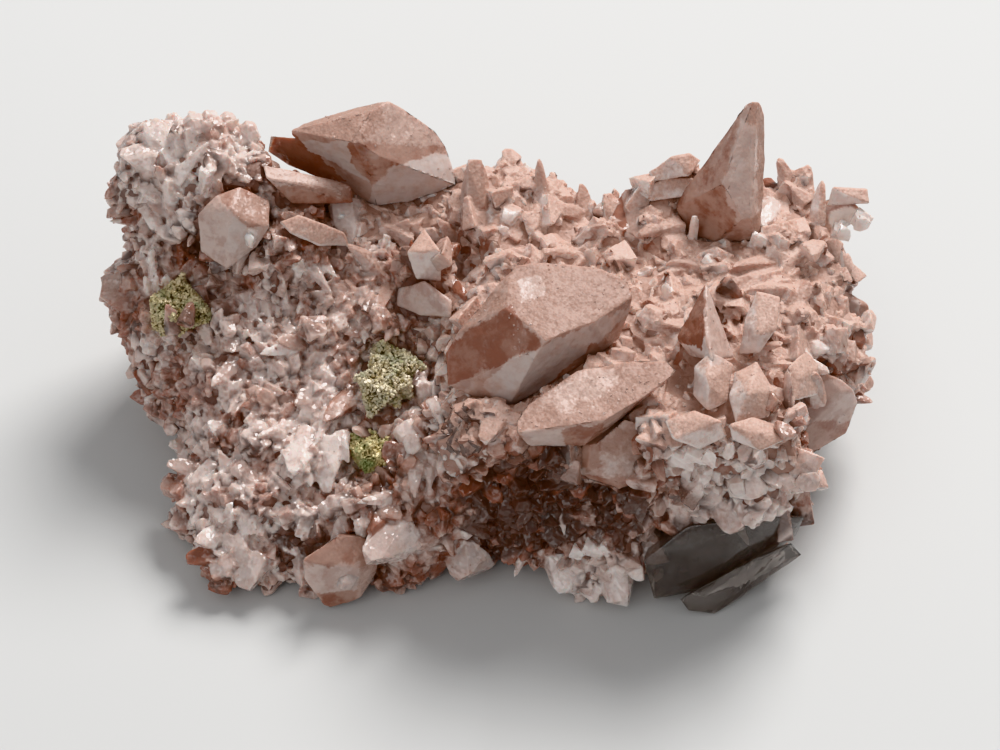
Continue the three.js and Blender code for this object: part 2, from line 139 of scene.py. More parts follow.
class CrystalSettings(bpy.types.PropertyGroup):
    """Sizes of the crystals that cover the matrix."""

    fine_size: length("Fine crystals", "Width of a middling crystal at the left", 1.35)
    blade_size: length("Blades", "Width of a middling blade at the top right", 1.9)
    low_size: length("Low crystals", "Width of a middling crystal on the lower sides", 1.7)
    matrix_grid: length("Matrix grid", "Grid on which the matrix is smoothed", 0.8)
    matrix_sink: length("Matrix sink", "How far the matrix lies below the packed crust", 0.2)
    lump_height: length("Lump height", "How far the lumps of the matrix swell out", 1.6)
    skin_grid: length("Skin grid", "Grid on which the small crystals grow together", 0.2)
    edge_rounding: length("Edge rounding", "Width of the worn edges of the large crystals", 0.22)
    grain_edge: length("Relief edge", "Longest mesh edge on the large crystals", 0.42)


class ColourSettings(bpy.types.PropertyGroup):
    """Colours of the minerals."""

    dust: tint("Dust", "Iron-stained dust on upward faces", 212, 178, 163)
    old_dust: tint("Old dust", "Thick dust on the large crystals", 150, 113, 98)
    body: tint("Calcite", "Clean calcite crystals", 236, 224, 218)
    blush: tint("Blush", "Calcite with fine red inclusions", 176, 138, 122)
    stain: tint("Stain", "Deep iron stain", 148, 98, 80)
    smoke: tint("Smoke", "Glassy calcite that looks grey-pink inside", 172, 150, 142)
    # Painted shade: this colour darkens the feet of the crystals and the crevices between them, where shade
    # falls, with a brown of dirt in it.
    deep: tint("Crevices", "Dirt at the crystals' feet", 84, 62, 54)
    gold: tint("Chalcopyrite", "Fresh chalcopyrite", 236, 222, 172)
    tarnish: tint("Tarnish", "Dark green film on the chalcopyrite", 158, 166, 118)
    floor: tint("Floor", "Plain floor under the specimen", 205, 204, 202)


# ------------------------------------------------------------------------------------------ shader parts


def feed(tree, socket, value):
    """Links a socket to another one, or gives it a plain value."""
    if isinstance(value, bpy.types.NodeSocket):
        tree.links.new(value, socket)
    elif socket.type == "RGBA" and len(value) == 3:
        socket.default_value = (*value, 1)
    else:
        socket.default_value = value


def add_node(tree, kind, inputs=None, **settings):
    """A new node with its settings and inputs."""
    made = tree.nodes.new(kind)
    for name, value in settings.items():
        setattr(made, name, value)
    for name, value in (inputs or {}).items():
        feed(tree, made.inputs[name], value)
    return made


def mixed(tree, factor, low, high):
    """Two colours mixed by a factor."""
    made = add_node(tree, "ShaderNodeMix", data_type="RGBA")
    for place, value in ((0, factor), (6, low), (7, high)):
        feed(tree, made.inputs[place], value)
    return made.outputs[2]


def ranged(tree, value, low, high, to_low=0.0, to_high=1.0, how="SMOOTHSTEP"):
    """A value carried from one range to another, and held at its ends."""
    inputs = {"Value": value, "From Min": low, "From Max": high, "To Min": to_low, "To Max": to_high}
    return add_node(tree, "ShaderNodeMapRange", inputs, interpolation_type=how).outputs["Result"]


def worked_out(tree, operation, first, second):
    """What an operation makes of two numbers."""
    made = add_node(tree, "ShaderNodeMath", operation=operation)
    feed(tree, made.inputs[0], first)
    feed(tree, made.inputs[1], second)
    return made.outputs[0]


def new_group(name, inputs, outputs):
    """An empty shader node group with named sockets, and its two end nodes."""
    group = bpy.data.node_groups.new(name, "ShaderNodeTree")
    for socket, (kind, default) in inputs.items():
        made = group.interface.new_socket(socket, in_out="INPUT", socket_type=kind)
        made.default_value = default
    for socket, kind in outputs.items():
        group.interface.new_socket(socket, in_out="OUTPUT", socket_type=kind)
    return group, group.nodes.new("NodeGroupInput"), group.nodes.new("NodeGroupOutput")


def patchy_group():
    """Soft-edged patches: a mask that is 1 in the patches."""
    inputs = {
        "Scale": ("NodeSocketFloat", 300.0),
        "Cover": ("NodeSocketFloat", 0.5),
        "Softness": ("NodeSocketFloat", 0.1),
    }
    group, start, end = new_group("Patches", inputs, {"Mask": "NodeSocketFloat"})
    place = add_node(group, "ShaderNodeTexCoord").outputs["Object"]
    spots = {"Vector": place, "Scale": start.outputs["Scale"], "Detail": 5.0, "Roughness": 0.62}
    value = add_node(group, "ShaderNodeTexNoise", spots).outputs["Fac"]
    middle = worked_out(group, "SUBTRACT", 1.0, start.outputs["Cover"])
    low = worked_out(group, "SUBTRACT", middle, start.outputs["Softness"])
    high = worked_out(group, "ADD", middle, start.outputs["Softness"])
    feed(group, end.inputs["Mask"], ranged(group, value, low, high))
    return group


def dust_group():
    """Dust that settles on faces that look the way it came from, thin where the surface is worn."""
    inputs = {
        "Amount": ("NodeSocketFloat", 1.0),
        "Lowest": ("NodeSocketFloat", 0.2),
        "Steepest": ("NodeSocketFloat", 0.6),
    }
    outputs = {"Mask": "NodeSocketFloat", "Speckle": "NodeSocketFloat"}
    group, start, end = new_group("Settled Dust", inputs, outputs)
    normal = add_node(group, "ShaderNodeNewGeometry").outputs["Normal"]
    facing = add_node(group, "ShaderNodeVectorMath", operation="DOT_PRODUCT")
    feed(group, facing.inputs[0], normal)
    facing.inputs[1].default_value = DUST_DIRECTION
    upward = facing.outputs["Value"]
    place = add_node(group, "ShaderNodeTexCoord").outputs["Object"]
    coarse = {"Vector": place, "Scale": 420.0, "Detail": 6.0, "Roughness": 0.7}
    breakup = add_node(group, "ShaderNodeTexNoise", coarse).outputs["Fac"]
    grains = {"Vector": place, "Scale": 3600.0, "Detail": 2.0, "Roughness": 0.6}
    speckle = add_node(group, "ShaderNodeTexNoise", grains).outputs["Fac"]
    wobble = worked_out(group, "ADD", upward, ranged(group, breakup, 0.3, 0.7, -0.3, 0.3, "LINEAR"))
    settled = ranged(group, wobble, start.outputs["Lowest"], start.outputs["Steepest"])
    held = worked_out(group, "MULTIPLY", settled, start.outputs["Amount"])
    feed(group, end.inputs["Mask"], held)
    feed(group, end.inputs["Speckle"], speckle)
    return group


def grain_group():
    """Height of a sugary surface: a fine grain on growth steps."""
    inputs = {
        "Grain": ("NodeSocketFloat", 2800.0),
        "Steps": ("NodeSocketFloat", 500.0),
        "Step Share": ("NodeSocketFloat", 0.4),
    }
    group, start, end = new_group("Sugary Grain", inputs, {"Height": "NodeSocketFloat"})
    place = add_node(group, "ShaderNodeTexCoord").outputs["Object"]
    cells = {"Vector": place, "Scale": start.outputs["Grain"], "Randomness": 1.0}
    grain = add_node(group, "ShaderNodeTexVoronoi", cells, feature="F1").outputs["Distance"]
    broad = {"Vector": place, "Scale": start.outputs["Steps"], "Detail": 3.0, "Roughness": 0.6}
    steps = add_node(group, "ShaderNodeTexNoise", broad).outputs["Fac"]
    terraces = add_node(group, "ShaderNodeMath", operation="SNAP")
    feed(group, terraces.inputs[0], steps)
    terraces.inputs[1].default_value = 0.07
    stepped = worked_out(group, "MULTIPLY", terraces.outputs[0], start.outputs["Step Share"])
    fine = worked_out(group, "MULTIPLY", grain, -0.35)
    feed(group, end.inputs["Height"], worked_out(group, "ADD", stepped, fine))
    return group


def sparkle_group():
    """The surface normal, rounded at worn edges and tilted a little from one tiny facet to the next."""
    inputs = {
        "Size": ("NodeSocketFloat", 2600.0),
        "Tilt": ("NodeSocketFloat", 0.5),
        "Wear": ("NodeSocketFloat", 0.15 * MM),
    }
    group, start, end = new_group("Sparkle", inputs, {"Normal": "NodeSocketVector"})
    place = add_node(group, "ShaderNodeTexCoord").outputs["Object"]
    cells = {"Vector": place, "Scale": start.outputs["Size"], "Randomness": 1.0}
    random_tilt = add_node(group, "ShaderNodeTexVoronoi", cells, feature="F1").outputs["Color"]
    centred = add_node(group, "ShaderNodeVectorMath", operation="SUBTRACT")
    feed(group, centred.inputs[0], random_tilt)
    centred.inputs[1].default_value = (0.5, 0.5, 0.5)
    tilted = add_node(group, "ShaderNodeVectorMath", operation="SCALE")
    feed(group, tilted.inputs[0], centred.outputs[0])
    feed(group, tilted.inputs["Scale"], start.outputs["Tilt"])
    leaned = add_node(group, "ShaderNodeVectorMath", operation="ADD")
    worn = add_node(group, "ShaderNodeBevel", {"Radius": start.outputs["Wear"]}, samples=4)
    feed(group, leaned.inputs[0], worn.outputs["Normal"])
    feed(group, leaned.inputs[1], tilted.outputs[0])
    unit = add_node(group, "ShaderNodeVectorMath", operation="NORMALIZE")
    feed(group, unit.inputs[0], leaned.outputs[0])
    feed(group, end.inputs["Normal"], unit.outputs[0])
    return group


SHADER_GROUPS = {
    "Patches": patchy_group,
    "Settled Dust": dust_group,
    "Sugary Grain": grain_group,
    "Sparkle": sparkle_group,
}


def use_group(tree, name, **inputs):
    """A shader group, built when it is first asked for and placed in a material."""
    group = bpy.data.node_groups.get(name) or SHADER_GROUPS[name]()
    made = add_node(tree, "ShaderNodeGroup", node_tree=group)
    for socket, value in inputs.items():
        feed(tree, made.inputs[socket.replace("_", " ")], value)
    return made


def attribute(tree, name):
    """A number that the mesh carries on its vertices."""
    return add_node(tree, "ShaderNodeAttribute", attribute_name=name).outputs["Fac"]


def empty_material(name):
    """A new material's tree with its surface shader."""
    material = bpy.data.materials.new(name)
    material.use_nodes = True
    tree = material.node_tree
    return material, tree, tree.nodes["Principled BSDF"]


# ------------------------------------------------------------------------------------------ finishes


def calcite(name, clean=0.16, dusty=0.6, sparkle=0.35, subsurface=0.0, wear=0.0):
    """Calcite, from glassy to dusty, by the tone, stain, dust, smoke and rise that a mesh carries; a low
    rise paints shade at the feet of crystals.
    """
    found = bpy.data.materials.get(name)
    if found:
        return found
    colours = bpy.context.scene.specimen_colours
    material, tree, shader = empty_material(name)
    smoke = attribute(tree, "smoke")
    veils = use_group(tree, "Patches", Scale=650.0, Cover=0.42, Softness=0.16).outputs["Mask"]
    body = mixed(tree, attribute(tree, "tone"), colours.body, colours.blush)
    body = mixed(tree, worked_out(tree, "MULTIPLY", veils, 0.35), body, colours.blush)
    body = mixed(tree, smoke, body, mixed(tree, veils, colours.smoke, colours.blush))
    rust = use_group(tree, "Patches", Scale=260.0, Cover=0.5, Softness=0.12).outputs["Mask"]
    stained = worked_out(tree, "ADD", worked_out(tree, "MULTIPLY", rust, 0.5), attribute(tree, "stain"))
    body = mixed(tree, ranged(tree, stained, 0.4, 1.05), body, colours.stain)
    # Painted shade: where the rise is low, at the feet of the crystals and in the crevices, the body colour
    # is mixed towards the crevice colour.
    foot = ranged(tree, attribute(tree, "rise"), 0.3, 0.8, 0.85, 0.0)
    body = mixed(tree, foot, body, colours.deep)
    dust = use_group(tree, "Settled Dust", Amount=attribute(tree, "dust"))
    mask, speckle = dust.outputs["Mask"], dust.outputs["Speckle"]
    settled = mixed(tree, attribute(tree, "tone"), colours.dust, colours.old_dust)
    powder = mixed(tree, ranged(tree, speckle, 0.35, 0.7, 0.0, 0.6), settled, colours.blush)
    feed(tree, shader.inputs["Base Color"], mixed(tree, mask, body, powder))
    feed(tree, shader.inputs["Roughness"], ranged(tree, mask, 0.0, 1.0, clean, dusty, "LINEAR"))
    grain = use_group(tree, "Sugary Grain").outputs["Height"]
    height = worked_out(tree, "MULTIPLY", grain, ranged(tree, mask, 0.0, 1.0, 0.2, 1.0, "LINEAR"))
    facets = use_group(tree, "Sparkle", Tilt=sparkle, Wear=wear * MM).outputs["Normal"]
    bump = add_node(tree, "ShaderNodeBump", {"Height": height, "Normal": facets, "Strength": 0.7})
    bump.inputs["Distance"].default_value = 0.18 * MM
    feed(tree, shader.inputs["Normal"], bump.outputs["Normal"])
    shader.inputs["IOR"].default_value = 1.66
    shader.inputs["Subsurface Weight"].default_value = subsurface
    shader.inputs["Subsurface Radius"].default_value = (1.0, 0.62, 0.5)
    shader.inputs["Subsurface Scale"].default_value = 1.3 * MM
    return material


def clear_calcite():
    """See-through calcite with faint grey-brown absorption."""
    found = bpy.data.materials.get("clear calcite")
    if found:
        return found
    material, tree, shader = empty_material("clear calcite")
    cloud = use_group(tree, "Patches", Scale=180.0, Cover=0.5, Softness=0.2).outputs["Mask"]
    tint = mixed(tree, cloud, colour(214, 205, 198), colour(178, 166, 158))
    feed(tree, shader.inputs["Base Color"], tint)
    feed(tree, shader.inputs["Roughness"], ranged(tree, cloud, 0.0, 1.0, 0.05, 0.18, "LINEAR"))
    grain = use_group(tree, "Sugary Grain", Steps=260.0, Step_Share=0.8).outputs["Height"]
    bump = add_node(tree, "ShaderNodeBump", {"Height": grain, "Strength": 0.18})
    bump.inputs["Distance"].default_value = 0.15 * MM
    feed(tree, shader.inputs["Normal"], bump.outputs["Normal"])
    shader.inputs["IOR"].default_value = 1.6
    shader.inputs["Transmission Weight"].default_value = 0.85
    volume = add_node(tree, "ShaderNodeVolumeAbsorption", {"Color": colour(178, 162, 152), "Density": 24.0})
    feed(tree, tree.nodes["Material Output"].inputs["Volume"], volume.outputs["Volume"])
    return material


def chalcopyrite():
    """Brassy grains under a patchy dark green film."""
    found = bpy.data.materials.get("chalcopyrite grains")
    if found:
        return found
    colours = bpy.context.scene.specimen_colours
    material, tree, shader = empty_material("chalcopyrite grains")
    film = use_group(tree, "Patches", Scale=520.0, Cover=0.45, Softness=0.12).outputs["Mask"]
    brass = mixed(tree, attribute(tree, "tone"), colours.gold, colour(206, 188, 144))
    grains = mixed(tree, film, brass, colours.tarnish)
    grains = mixed(tree, attribute(tree, "smoke"), grains, colour(230, 222, 206))
    dusted = mixed(tree, attribute(tree, "dust"), grains, colour(226, 206, 176))
    feed(tree, shader.inputs["Base Color"], dusted)
    feed(tree, shader.inputs["Metallic"], ranged(tree, film, 0.0, 1.0, 0.3, 0.0, "LINEAR"))
    feed(tree, shader.inputs["Roughness"], ranged(tree, film, 0.0, 1.0, 0.25, 0.5, "LINEAR"))
    facets = use_group(tree, "Sparkle", Tilt=0.7).outputs["Normal"]
    feed(tree, shader.inputs["Normal"], facets)
    return material


# ------------------------------------------------------------------------------------------ meshes

# rise is how high a vertex stands on its crystal; a low rise is painted as shade.
LAYERS = ("tone", "stain", "dust", "smoke", "rise")

# A loose part of a skin is a stray if it has fewer vertices than this and keeps this far from what would
# carry it, in millimetres.
STRAY_SIZE = 2000
STRAY_GAP = 0.15

# The painted shade at a crystal's foot is gone where it stands this far out of what carries it, in
# millimetres.
OPEN_HEIGHT = 1.1

# Where shade is painted on the crystals, deep in the crust: a point of the camera's frame, and how far round
# it.
PAINTED_SHADE_PLACES = (((540, 492), 58), ((500, 520), 40), ((615, 512), 35), ((470, 430), 30), ((300, 545), 25))


def new_mesh():
    """An empty mesh that can carry the numbers which the finishes read."""
    bm = bmesh.new()
    for name in LAYERS:
        bm.verts.layers.float.new(name)
    return bm


def solid_of(*nodes):
    """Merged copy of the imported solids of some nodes."""
    bm = new_mesh()
    for name in nodes:
        bm.from_mesh(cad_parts[name].data)
    bmesh.ops.remove_doubles(bm, verts=bm.verts, dist=1e-3 * MM)
    return bm


def joined(bm, part):
    """Adds a mesh to another, and uses it up."""
    mesh = bpy.data.meshes.new("part")
    part.to_mesh(mesh)
    part.free()
    bm.from_mesh(mesh)
    bpy.data.meshes.remove(mesh)


def smoothed(bm):
    """Lets the light run on from face to face."""
    for face in bm.faces:
        face.smooth = True


def marked(bm, **values):
    """Gives every vertex the same numbers."""
    for name, value in values.items():
        layer = bm.verts.layers.float[name]
        for vert in bm.verts:
            vert[layer] = value


def kept_in_box(bm, margin=0.02 * MM):
    """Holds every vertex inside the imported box."""
    low, high = CAD_BOX
    for vert in bm.verts:
        for axis in range(3):
            least = low[axis] + margin
            most = high[axis] - margin
            vert.co[axis] = min(max(vert.co[axis], least), most)


def piece_from(bm, name, materials, slot, *nodes):
    """Turns a bmesh into a piece of the specimen that stands for some nodes."""
    mesh = bpy.data.meshes.new(name)
    bm.to_mesh(mesh)
    bm.free()
    for material in materials:
        mesh.materials.append(material)
    piece = bpy.data.objects.new(name, mesh)
    bpy.context.scene.collection.objects.link(piece)
    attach(piece, "root")
    if nodes:
        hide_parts(*nodes)
    return piece


def bevelled(bm, width, segments=1):
    """Wears every edge down by a width."""
    bmesh.ops.bevel(
        bm, geom=bm.edges[:], offset=width, offset_type="OFFSET", segments=segments,
        profile=0.5, affect="EDGES", material=-1, clamp_overlap=True,
    )


def refined(bm, longest):
    """Splits edges until none is longer than this."""
    for _ in range(7):
        bmesh.ops.triangulate(bm, faces=bm.faces)
        long_edges = [edge for edge in bm.edges if edge.calc_length() > longest]
        if not long_edges:
            break
        bmesh.ops.subdivide_edges(bm, edges=long_edges, cuts=1)
    bmesh.ops.triangulate(bm, faces=bm.faces)


def roughened(bm, height, size, seed=0, terraces=0.0):
    """Moves the surface in and out along its normals by a smooth noise, in steps if terraces is over 0."""
    bm.normal_update()
    shift = Vector((seed * 13.7, seed * 7.1, seed * 3.3))
    moves = []
    for vert in bm.verts:
        value = noise.noise(vert.co / size + shift)
        if terraces:
            stepped = math.floor(value / terraces) * terraces
            value = 0.3 * value + 0.7 * stepped
        moves.append(vert.normal * (value * height))
    for vert, move in zip(bm.verts, moves):
        vert.co += move


def evaluated(mesh, kind, **settings):
    """The mesh that a modifier makes of a mesh, which it uses up."""
    holder = bpy.data.objects.new("holder", mesh)
    bpy.context.scene.collection.objects.link(holder)
    modifier = holder.modifiers.new("modifier", kind)
    for name, value in settings.items():
        setattr(modifier, name, value)
    graph = bpy.context.evaluated_depsgraph_get()
    made = bpy.data.meshes.new_from_object(holder.evaluated_get(graph))
    bpy.data.objects.remove(holder)
    bpy.data.meshes.remove(mesh)
    return made


def fused(bm, grid, most=None):
    """Grows crystals that touch into one skin with softened edges, of so many faces at most."""
    mesh = bpy.data.meshes.new("unfused")
    bm.to_mesh(mesh)
    mesh = evaluated(mesh, "REMESH", mode="VOXEL", voxel_size=grid)
    if most and len(mesh.polygons) * 2 > most:
        mesh = evaluated(mesh, "DECIMATE", ratio=most / (2 * len(mesh.polygons)))
    skin = new_mesh()
    skin.from_mesh(mesh)
    bpy.data.meshes.remove(mesh)
    return skin


def islands(bm):
    """The vertices of each loose part of a mesh."""
    left = set(bm.verts)
    while left:
        part = set()
        ahead = [left.pop()]
        while ahead:
            vert = ahead.pop()
            part.add(vert)
            near = [edge.other_vert(vert) for edge in vert.link_edges]
            near = [other for other in near if other in left]
            left.difference_update(near)
            ahead.extend(near)
        yield part


def without_strays(skin, ground):
    """Takes away the small loose parts of a skin that nothing carries."""
    for part in list(islands(skin)):
        if len(part) < STRAY_SIZE and all(ground.find_nearest(vert.co)[3] > STRAY_GAP * MM for vert in part):
            bmesh.ops.delete(skin, geom=list(part), context="VERTS")


def carried(skin, source):
    """Gives a skin the numbers of the crystals that it was grown from."""
    bmesh.ops.triangulate(source, faces=source.faces)
    source.faces.ensure_lookup_table()
    near = BVHTree.FromBMesh(source)
    layers = [(skin.verts.layers.float[name], source.verts.layers.float[name]) for name in LAYERS]
    for vert in skin.verts:
        place, _, index, _ = near.find_nearest(vert.co)
        corners = source.faces[index].verts
        shares = poly_3d_calc([corner.co for corner in corners], place)
        for to_layer, from_layer in layers:
            vert[to_layer] = sum(share * corner[from_layer] for share, corner in zip(shares, corners))


def frame_point(place):
    """The point of the camera's frame where it sees a place."""
    seen = Matrix.Rotation(CAMERA_DIP - math.pi / 2, 3, "X") @ (place - CAMERA_PLACE)
    scale = FRAME_WIDTH * LENS / SENSOR / -seen.z
    return FRAME_WIDTH / 2 + seen.x * scale, FRAME_HEIGHT / 2 - seen.y * scale


def in_painted_shade(point):
    """Whether a point of the camera's frame lies in one of the places where shade is painted."""
    return any(math.dist(point, at) < reach for at, reach in PAINTED_SHADE_PLACES)


def lightened(skin, carriers):
    """Keeps the painted shade at the feet of crystals only near what carries them, and in the places where
    shade is painted.
    """
    rise = skin.verts.layers.float["rise"]
    for vert in skin.verts:
        if in_painted_shade(frame_point(vert.co)):
            continue
        place, normal, _, _ = carriers.find_nearest(vert.co)
        height = (vert.co - place).dot(normal)
        vert[rise] = max(vert[rise], min(height / (OPEN_HEIGHT * MM), 1.0))


# ------------------------------------------------------------------------------------------ crystal shapes


def cut_open(bm, place, normal):
    """Cuts away what lies beyond a plane, and gives the edges of the cut."""
    geom = bm.verts[:] + bm.edges[:] + bm.faces[:]
    cut = bmesh.ops.bisect_plane(
        bm, geom=geom, plane_co=place, plane_no=normal, clear_outer=True, dist=1e-6,
    )
    return [item for item in cut["geom_cut"] if isinstance(item, bmesh.types.BMEdge)]


def cut_off(bm, normal, distance):
    """Cuts a closed convex mesh by a plane and closes the cut."""
    edges = cut_open(bm, normal * distance, normal)
    if edges:
        bmesh.ops.contextual_create(bm, geom=edges)


def slope(turn, rise):
    """The unit normal of a face that looks a way round the axis and a way up, both in degrees."""
    turn, rise = math.radians(turn), math.radians(rise)
    return Vector((math.cos(turn) * math.cos(rise), math.sin(turn) * math.cos(rise), math.sin(rise)))


def tooth_faces(dice):
    """A dog-tooth: six steep faces that narrow to a point, and six that narrow to the foot."""
    for k in range(6):
        turn = 60 * k + (9 if k % 2 else -9) + dice.uniform(-4, 4)
        yield slope(turn, 17 + dice.uniform(-3, 3)), 0.40 + dice.uniform(-0.05, 0.05)
        yield slope(turn, -20), 0.34 + dice.uniform(-0.03, 0.03)
    for k in range(3):
        yield slope(120 * k + dice.uniform(-9, 9), 48), 0.60 + dice.uniform(-0.03, 0.05)


def head_faces(dice):
    """A nail-head: six upright faces under three low ones."""
    for k in range(6):
        yield slope(60 * k + dice.uniform(-4, 4), 4), 0.42 + dice.uniform(-0.05, 0.06)
    for k in range(3):
        yield slope(120 * k + 30 + dice.uniform(-8, 8), 58), 0.62 + dice.uniform(-0.05, 0.05)


def block_faces(dice):
    """A blunt rhomb with its corners taken off."""
    for k in range(3):
        yield slope(120 * k + dice.uniform(-5, 5), 34), 0.5 + dice.uniform(-0.04, 0.04)
        yield slope(120 * k + 60 + dice.uniform(-5, 5), -30), 0.42
    for k in range(6):
        yield slope(60 * k + 30 + dice.uniform(-9, 9), 12), 0.47 + dice.uniform(-0.03, 0.05)
    yield slope(0, 90), 0.72 + dice.uniform(-0.06, 0.06)


def blade_faces(dice):
    """A blade: two broad faces, narrow sides and a sloping ridge."""
    for turn in (90, -90):
        yield slope(turn + dice.uniform(-6, 6), 12), 0.40 + dice.uniform(-0.05, 0.05)
    for turn in (0, 180):
        yield slope(turn + dice.uniform(-8, 8), 22), 0.43 + dice.uniform(-0.05, 0.05)
    for turn in (35, 145, 215, 325):
        yield slope(turn + dice.uniform(-8, 8), 30), 0.53 + dice.uniform(-0.04, 0.04)
    yield slope(90, 62 + dice.uniform(-6, 6)), 0.80
    yield slope(-90, 62 + dice.uniform(-6, 6)), 0.80


def slab_faces(dice):
    """A slab: a broad flat front and back, and sides that narrow to a short ridge."""
    yield slope(90, 3 + dice.uniform(-3, 3)), 0.42
    yield slope(-90, 8), 0.42
    for turn in (0, 180):
        yield slope(turn + dice.uniform(-9, 9), 20 + dice.uniform(-6, 9)), 0.47 + dice.uniform(-0.05, 0.03)
    for turn in (48, 132):
        yield slope(turn + dice.uniform(-9, 9), 26 + dice.uniform(-9, 9)), 0.56 + dice.uniform(-0.04, 0.04)
    yield slope(90, 55 + dice.uniform(-8, 8)), 0.78
    yield slope(dice.uniform(-30, 210), 66), 0.86


def plate_faces(dice):
    """A thin plate with one flat face that catches the light."""
    for turn in (90, -90):
        yield slope(turn, 0), 0.45
    for turn in (0, 180):
        yield slope(turn + dice.uniform(-14, 14), dice.uniform(-8, 26)), 0.42 + dice.uniform(-0.06, 0.06)
    for turn in (50, 130):
        yield slope(turn, 12 + dice.uniform(-9, 20)), 0.50
    yield slope(dice.choice((0, 180)), 52 + dice.uniform(-14, 14)), 0.72


def rhomb_faces(dice):
    """A plain cleavage rhomb."""
    for k in range(3):
        yield slope(120 * k, 45), 0.45
        yield slope(120 * k + 60, -45), 0.12


HABITS = {
    "tooth": tooth_faces,
    "head": head_faces,
    "block": block_faces,
    "blade": blade_faces,
    "slab": slab_faces,
    "plate": plate_faces,
    "rhomb": rhomb_faces,
}


def crystal_shape(habit, seed):
    """One crystal, one unit high and about one wide, on its foot at the origin."""
    dice = random.Random(f"{habit} {seed}")
    bm = new_mesh()
    bmesh.ops.create_cube(bm, size=1.0)
    bmesh.ops.translate(bm, verts=bm.verts, vec=(0, 0, 0.5))
    for normal, distance in HABITS[habit](dice):
        cut_off(bm, normal, distance)
    bmesh.ops.remove_doubles(bm, verts=bm.verts, dist=1e-4)
    tallest = max(vert.co.z for vert in bm.verts)
    bmesh.ops.scale(bm, verts=bm.verts, vec=(1, 1, 1 / tallest))
    bmesh.ops.triangulate(bm, faces=bm.faces)
    # The rise runs from 0 at the foot to 1 at the tip; the finishes paint shade where it is low.
    rise = bm.verts.layers.float["rise"]
    for vert in bm.verts:
        vert[rise] = vert.co.z
    mesh = bpy.data.meshes.new(f"{habit} {seed}")
    bm.to_mesh(mesh)
    bm.free()
    return mesh


def turned_to(axis, face):
    """The turn that stands a crystal along an axis, with its broad side to the way that face points."""
    up = axis.normalized()
    across = face.cross(up)
    if across.length < 1e-3:
        across = up.orthogonal()
    across.normalize()
    return Matrix((across, up.cross(across), up)).transposed().to_quaternion()


def plant(bm, shape, foot, axis, face, size, **values):
    """Adds a copy of a crystal that grows from its foot along an axis. size is width, thickness, height."""
    turn = turned_to(axis, face)
    copy = shape.copy()
    copy.transform(Matrix.LocRotScale(foot, turn, Vector(size)))
    for name, value in values.items():
        copy.attributes[name].data.foreach_set("value", [value] * len(copy.vertices))
    bm.from_mesh(copy)
    bpy.data.meshes.remove(copy)


# ------------------------------------------------------------------------------------------ small crystals

# How broad the lumps of the matrix are, and below which height it lies flat on the ground, in millimetres.
LUMP_SIZE = 5
REST_HEIGHT = 0.5

# How many places are tried for the widest small crystals. Each pass of narrower ones tries so many more.
# APART is how near they may stand, as a share of their width.
FIRST_TRIES = 8000
APART = 0.5

# Over how many millimetres neighbours lean alike, and how strongly.
LEAN_SIZE = 7
LEAN_SHARE = 2.2

# How deep a small crystal's foot reaches below its place, as a share of its width.
ROOT_SHARE = 0.8

# How strongly the tints draw the small crystals, and the rise that paints shade on a crystal in a place
# where shade is painted.
TINT_SHARE = 0.75
PAINTED_SHADE_RISE = 0.3


def matrix_mesh():
    """The matrix under the crystals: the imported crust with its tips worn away, flat where it rests."""
    sizes = bpy.context.scene.specimen_crystals
    packed = solid_of("calcite_crust")
    bm = fused(packed, sizes.matrix_grid)
    packed.free()
    for _ in range(6):
        bmesh.ops.smooth_vert(
            bm, verts=bm.verts, factor=0.5, use_axis_x=True, use_axis_y=True, use_axis_z=True,
        )
    bm.normal_update()
    for vert in bm.verts:
        if vert.co.z < REST_HEIGHT * MM:
            vert.co.z = 0.0
        else:
            lump = noise.noise(vert.co / (LUMP_SIZE * MM))
            if kind_at(vert.co, vert.normal) == "blades":
                lump *= 0.5
            vert.co += vert.normal * (lump * sizes.lump_height - sizes.matrix_sink)
            vert.co.z = max(vert.co.z, 0.0)
    return bm


def face_planes(bm):
    """The planes of a convex mesh's faces, one row each: the normal, and its distance from the origin."""
    bm.normal_update()
    return np.array([(*face.normal, face.normal.dot(face.verts[0].co)) for face in bm.faces])


def large_hulls():
    """Face planes of a convex hull round each of the large and the clear crystals."""
    hulls = []
    for name in LARGE_CRYSTALS + CLEAR_CRYSTALS:
        bm = solid_of(name)
        bmesh.ops.convex_hull(bm, input=bm.verts)
        hulls.append(face_planes(bm))
        bm.free()
    return hulls


def inside(points, hulls, depth):
    """Which points lie this deep or deeper in one of the hulls."""
    found = np.zeros(len(points), dtype=bool)
    for planes in hulls:
        over = points @ planes[:, :3].T - planes[:, 3]
        found |= over.max(axis=1) < -depth
    return found


# How the small crystals grow at one place. Sizes are shares of a middling crystal's width.
Growth = namedtuple("Growth", "width passes tall flat lean lying habits dust stain tone")


def growths():
    """The kinds of growth on the matrix."""
    sizes = bpy.context.scene.specimen_crystals
    return {
        "fine": Growth(
            width=sizes.fine_size, passes=(1.8, 1.2, 0.8, 0.55), tall=(0.25, 0.7), flat=(0.6, 1.0),
            lean=0.8, lying=0.5, habits=("tooth", "tooth", "head", "head", "block"),
            dust=(0.0, 0.35), stain=(0.0, 0.65), tone=(0.1, 1.0),
        ),
        "blades": Growth(
            width=sizes.blade_size, passes=(1.7, 1.1, 0.75, 0.5), tall=(0.06, 0.34), flat=(0.5, 0.9),
            lean=0.8, lying=0.9, habits=("head", "slab", "slab", "block"),
            dust=(0.95, 1.0), stain=(0.1, 0.4), tone=(0.0, 0.3),
        ),
        "low": Growth(
            width=sizes.low_size, passes=(1.6, 1.1, 0.75, 0.5), tall=(0.3, 0.75), flat=(0.65, 1.0),
            lean=0.8, lying=0.5, habits=("tooth", "head", "tooth", "block"),
            dust=(0.0, 0.4), stain=(0.1, 0.55), tone=(0.3, 1.0),
        ),
    }


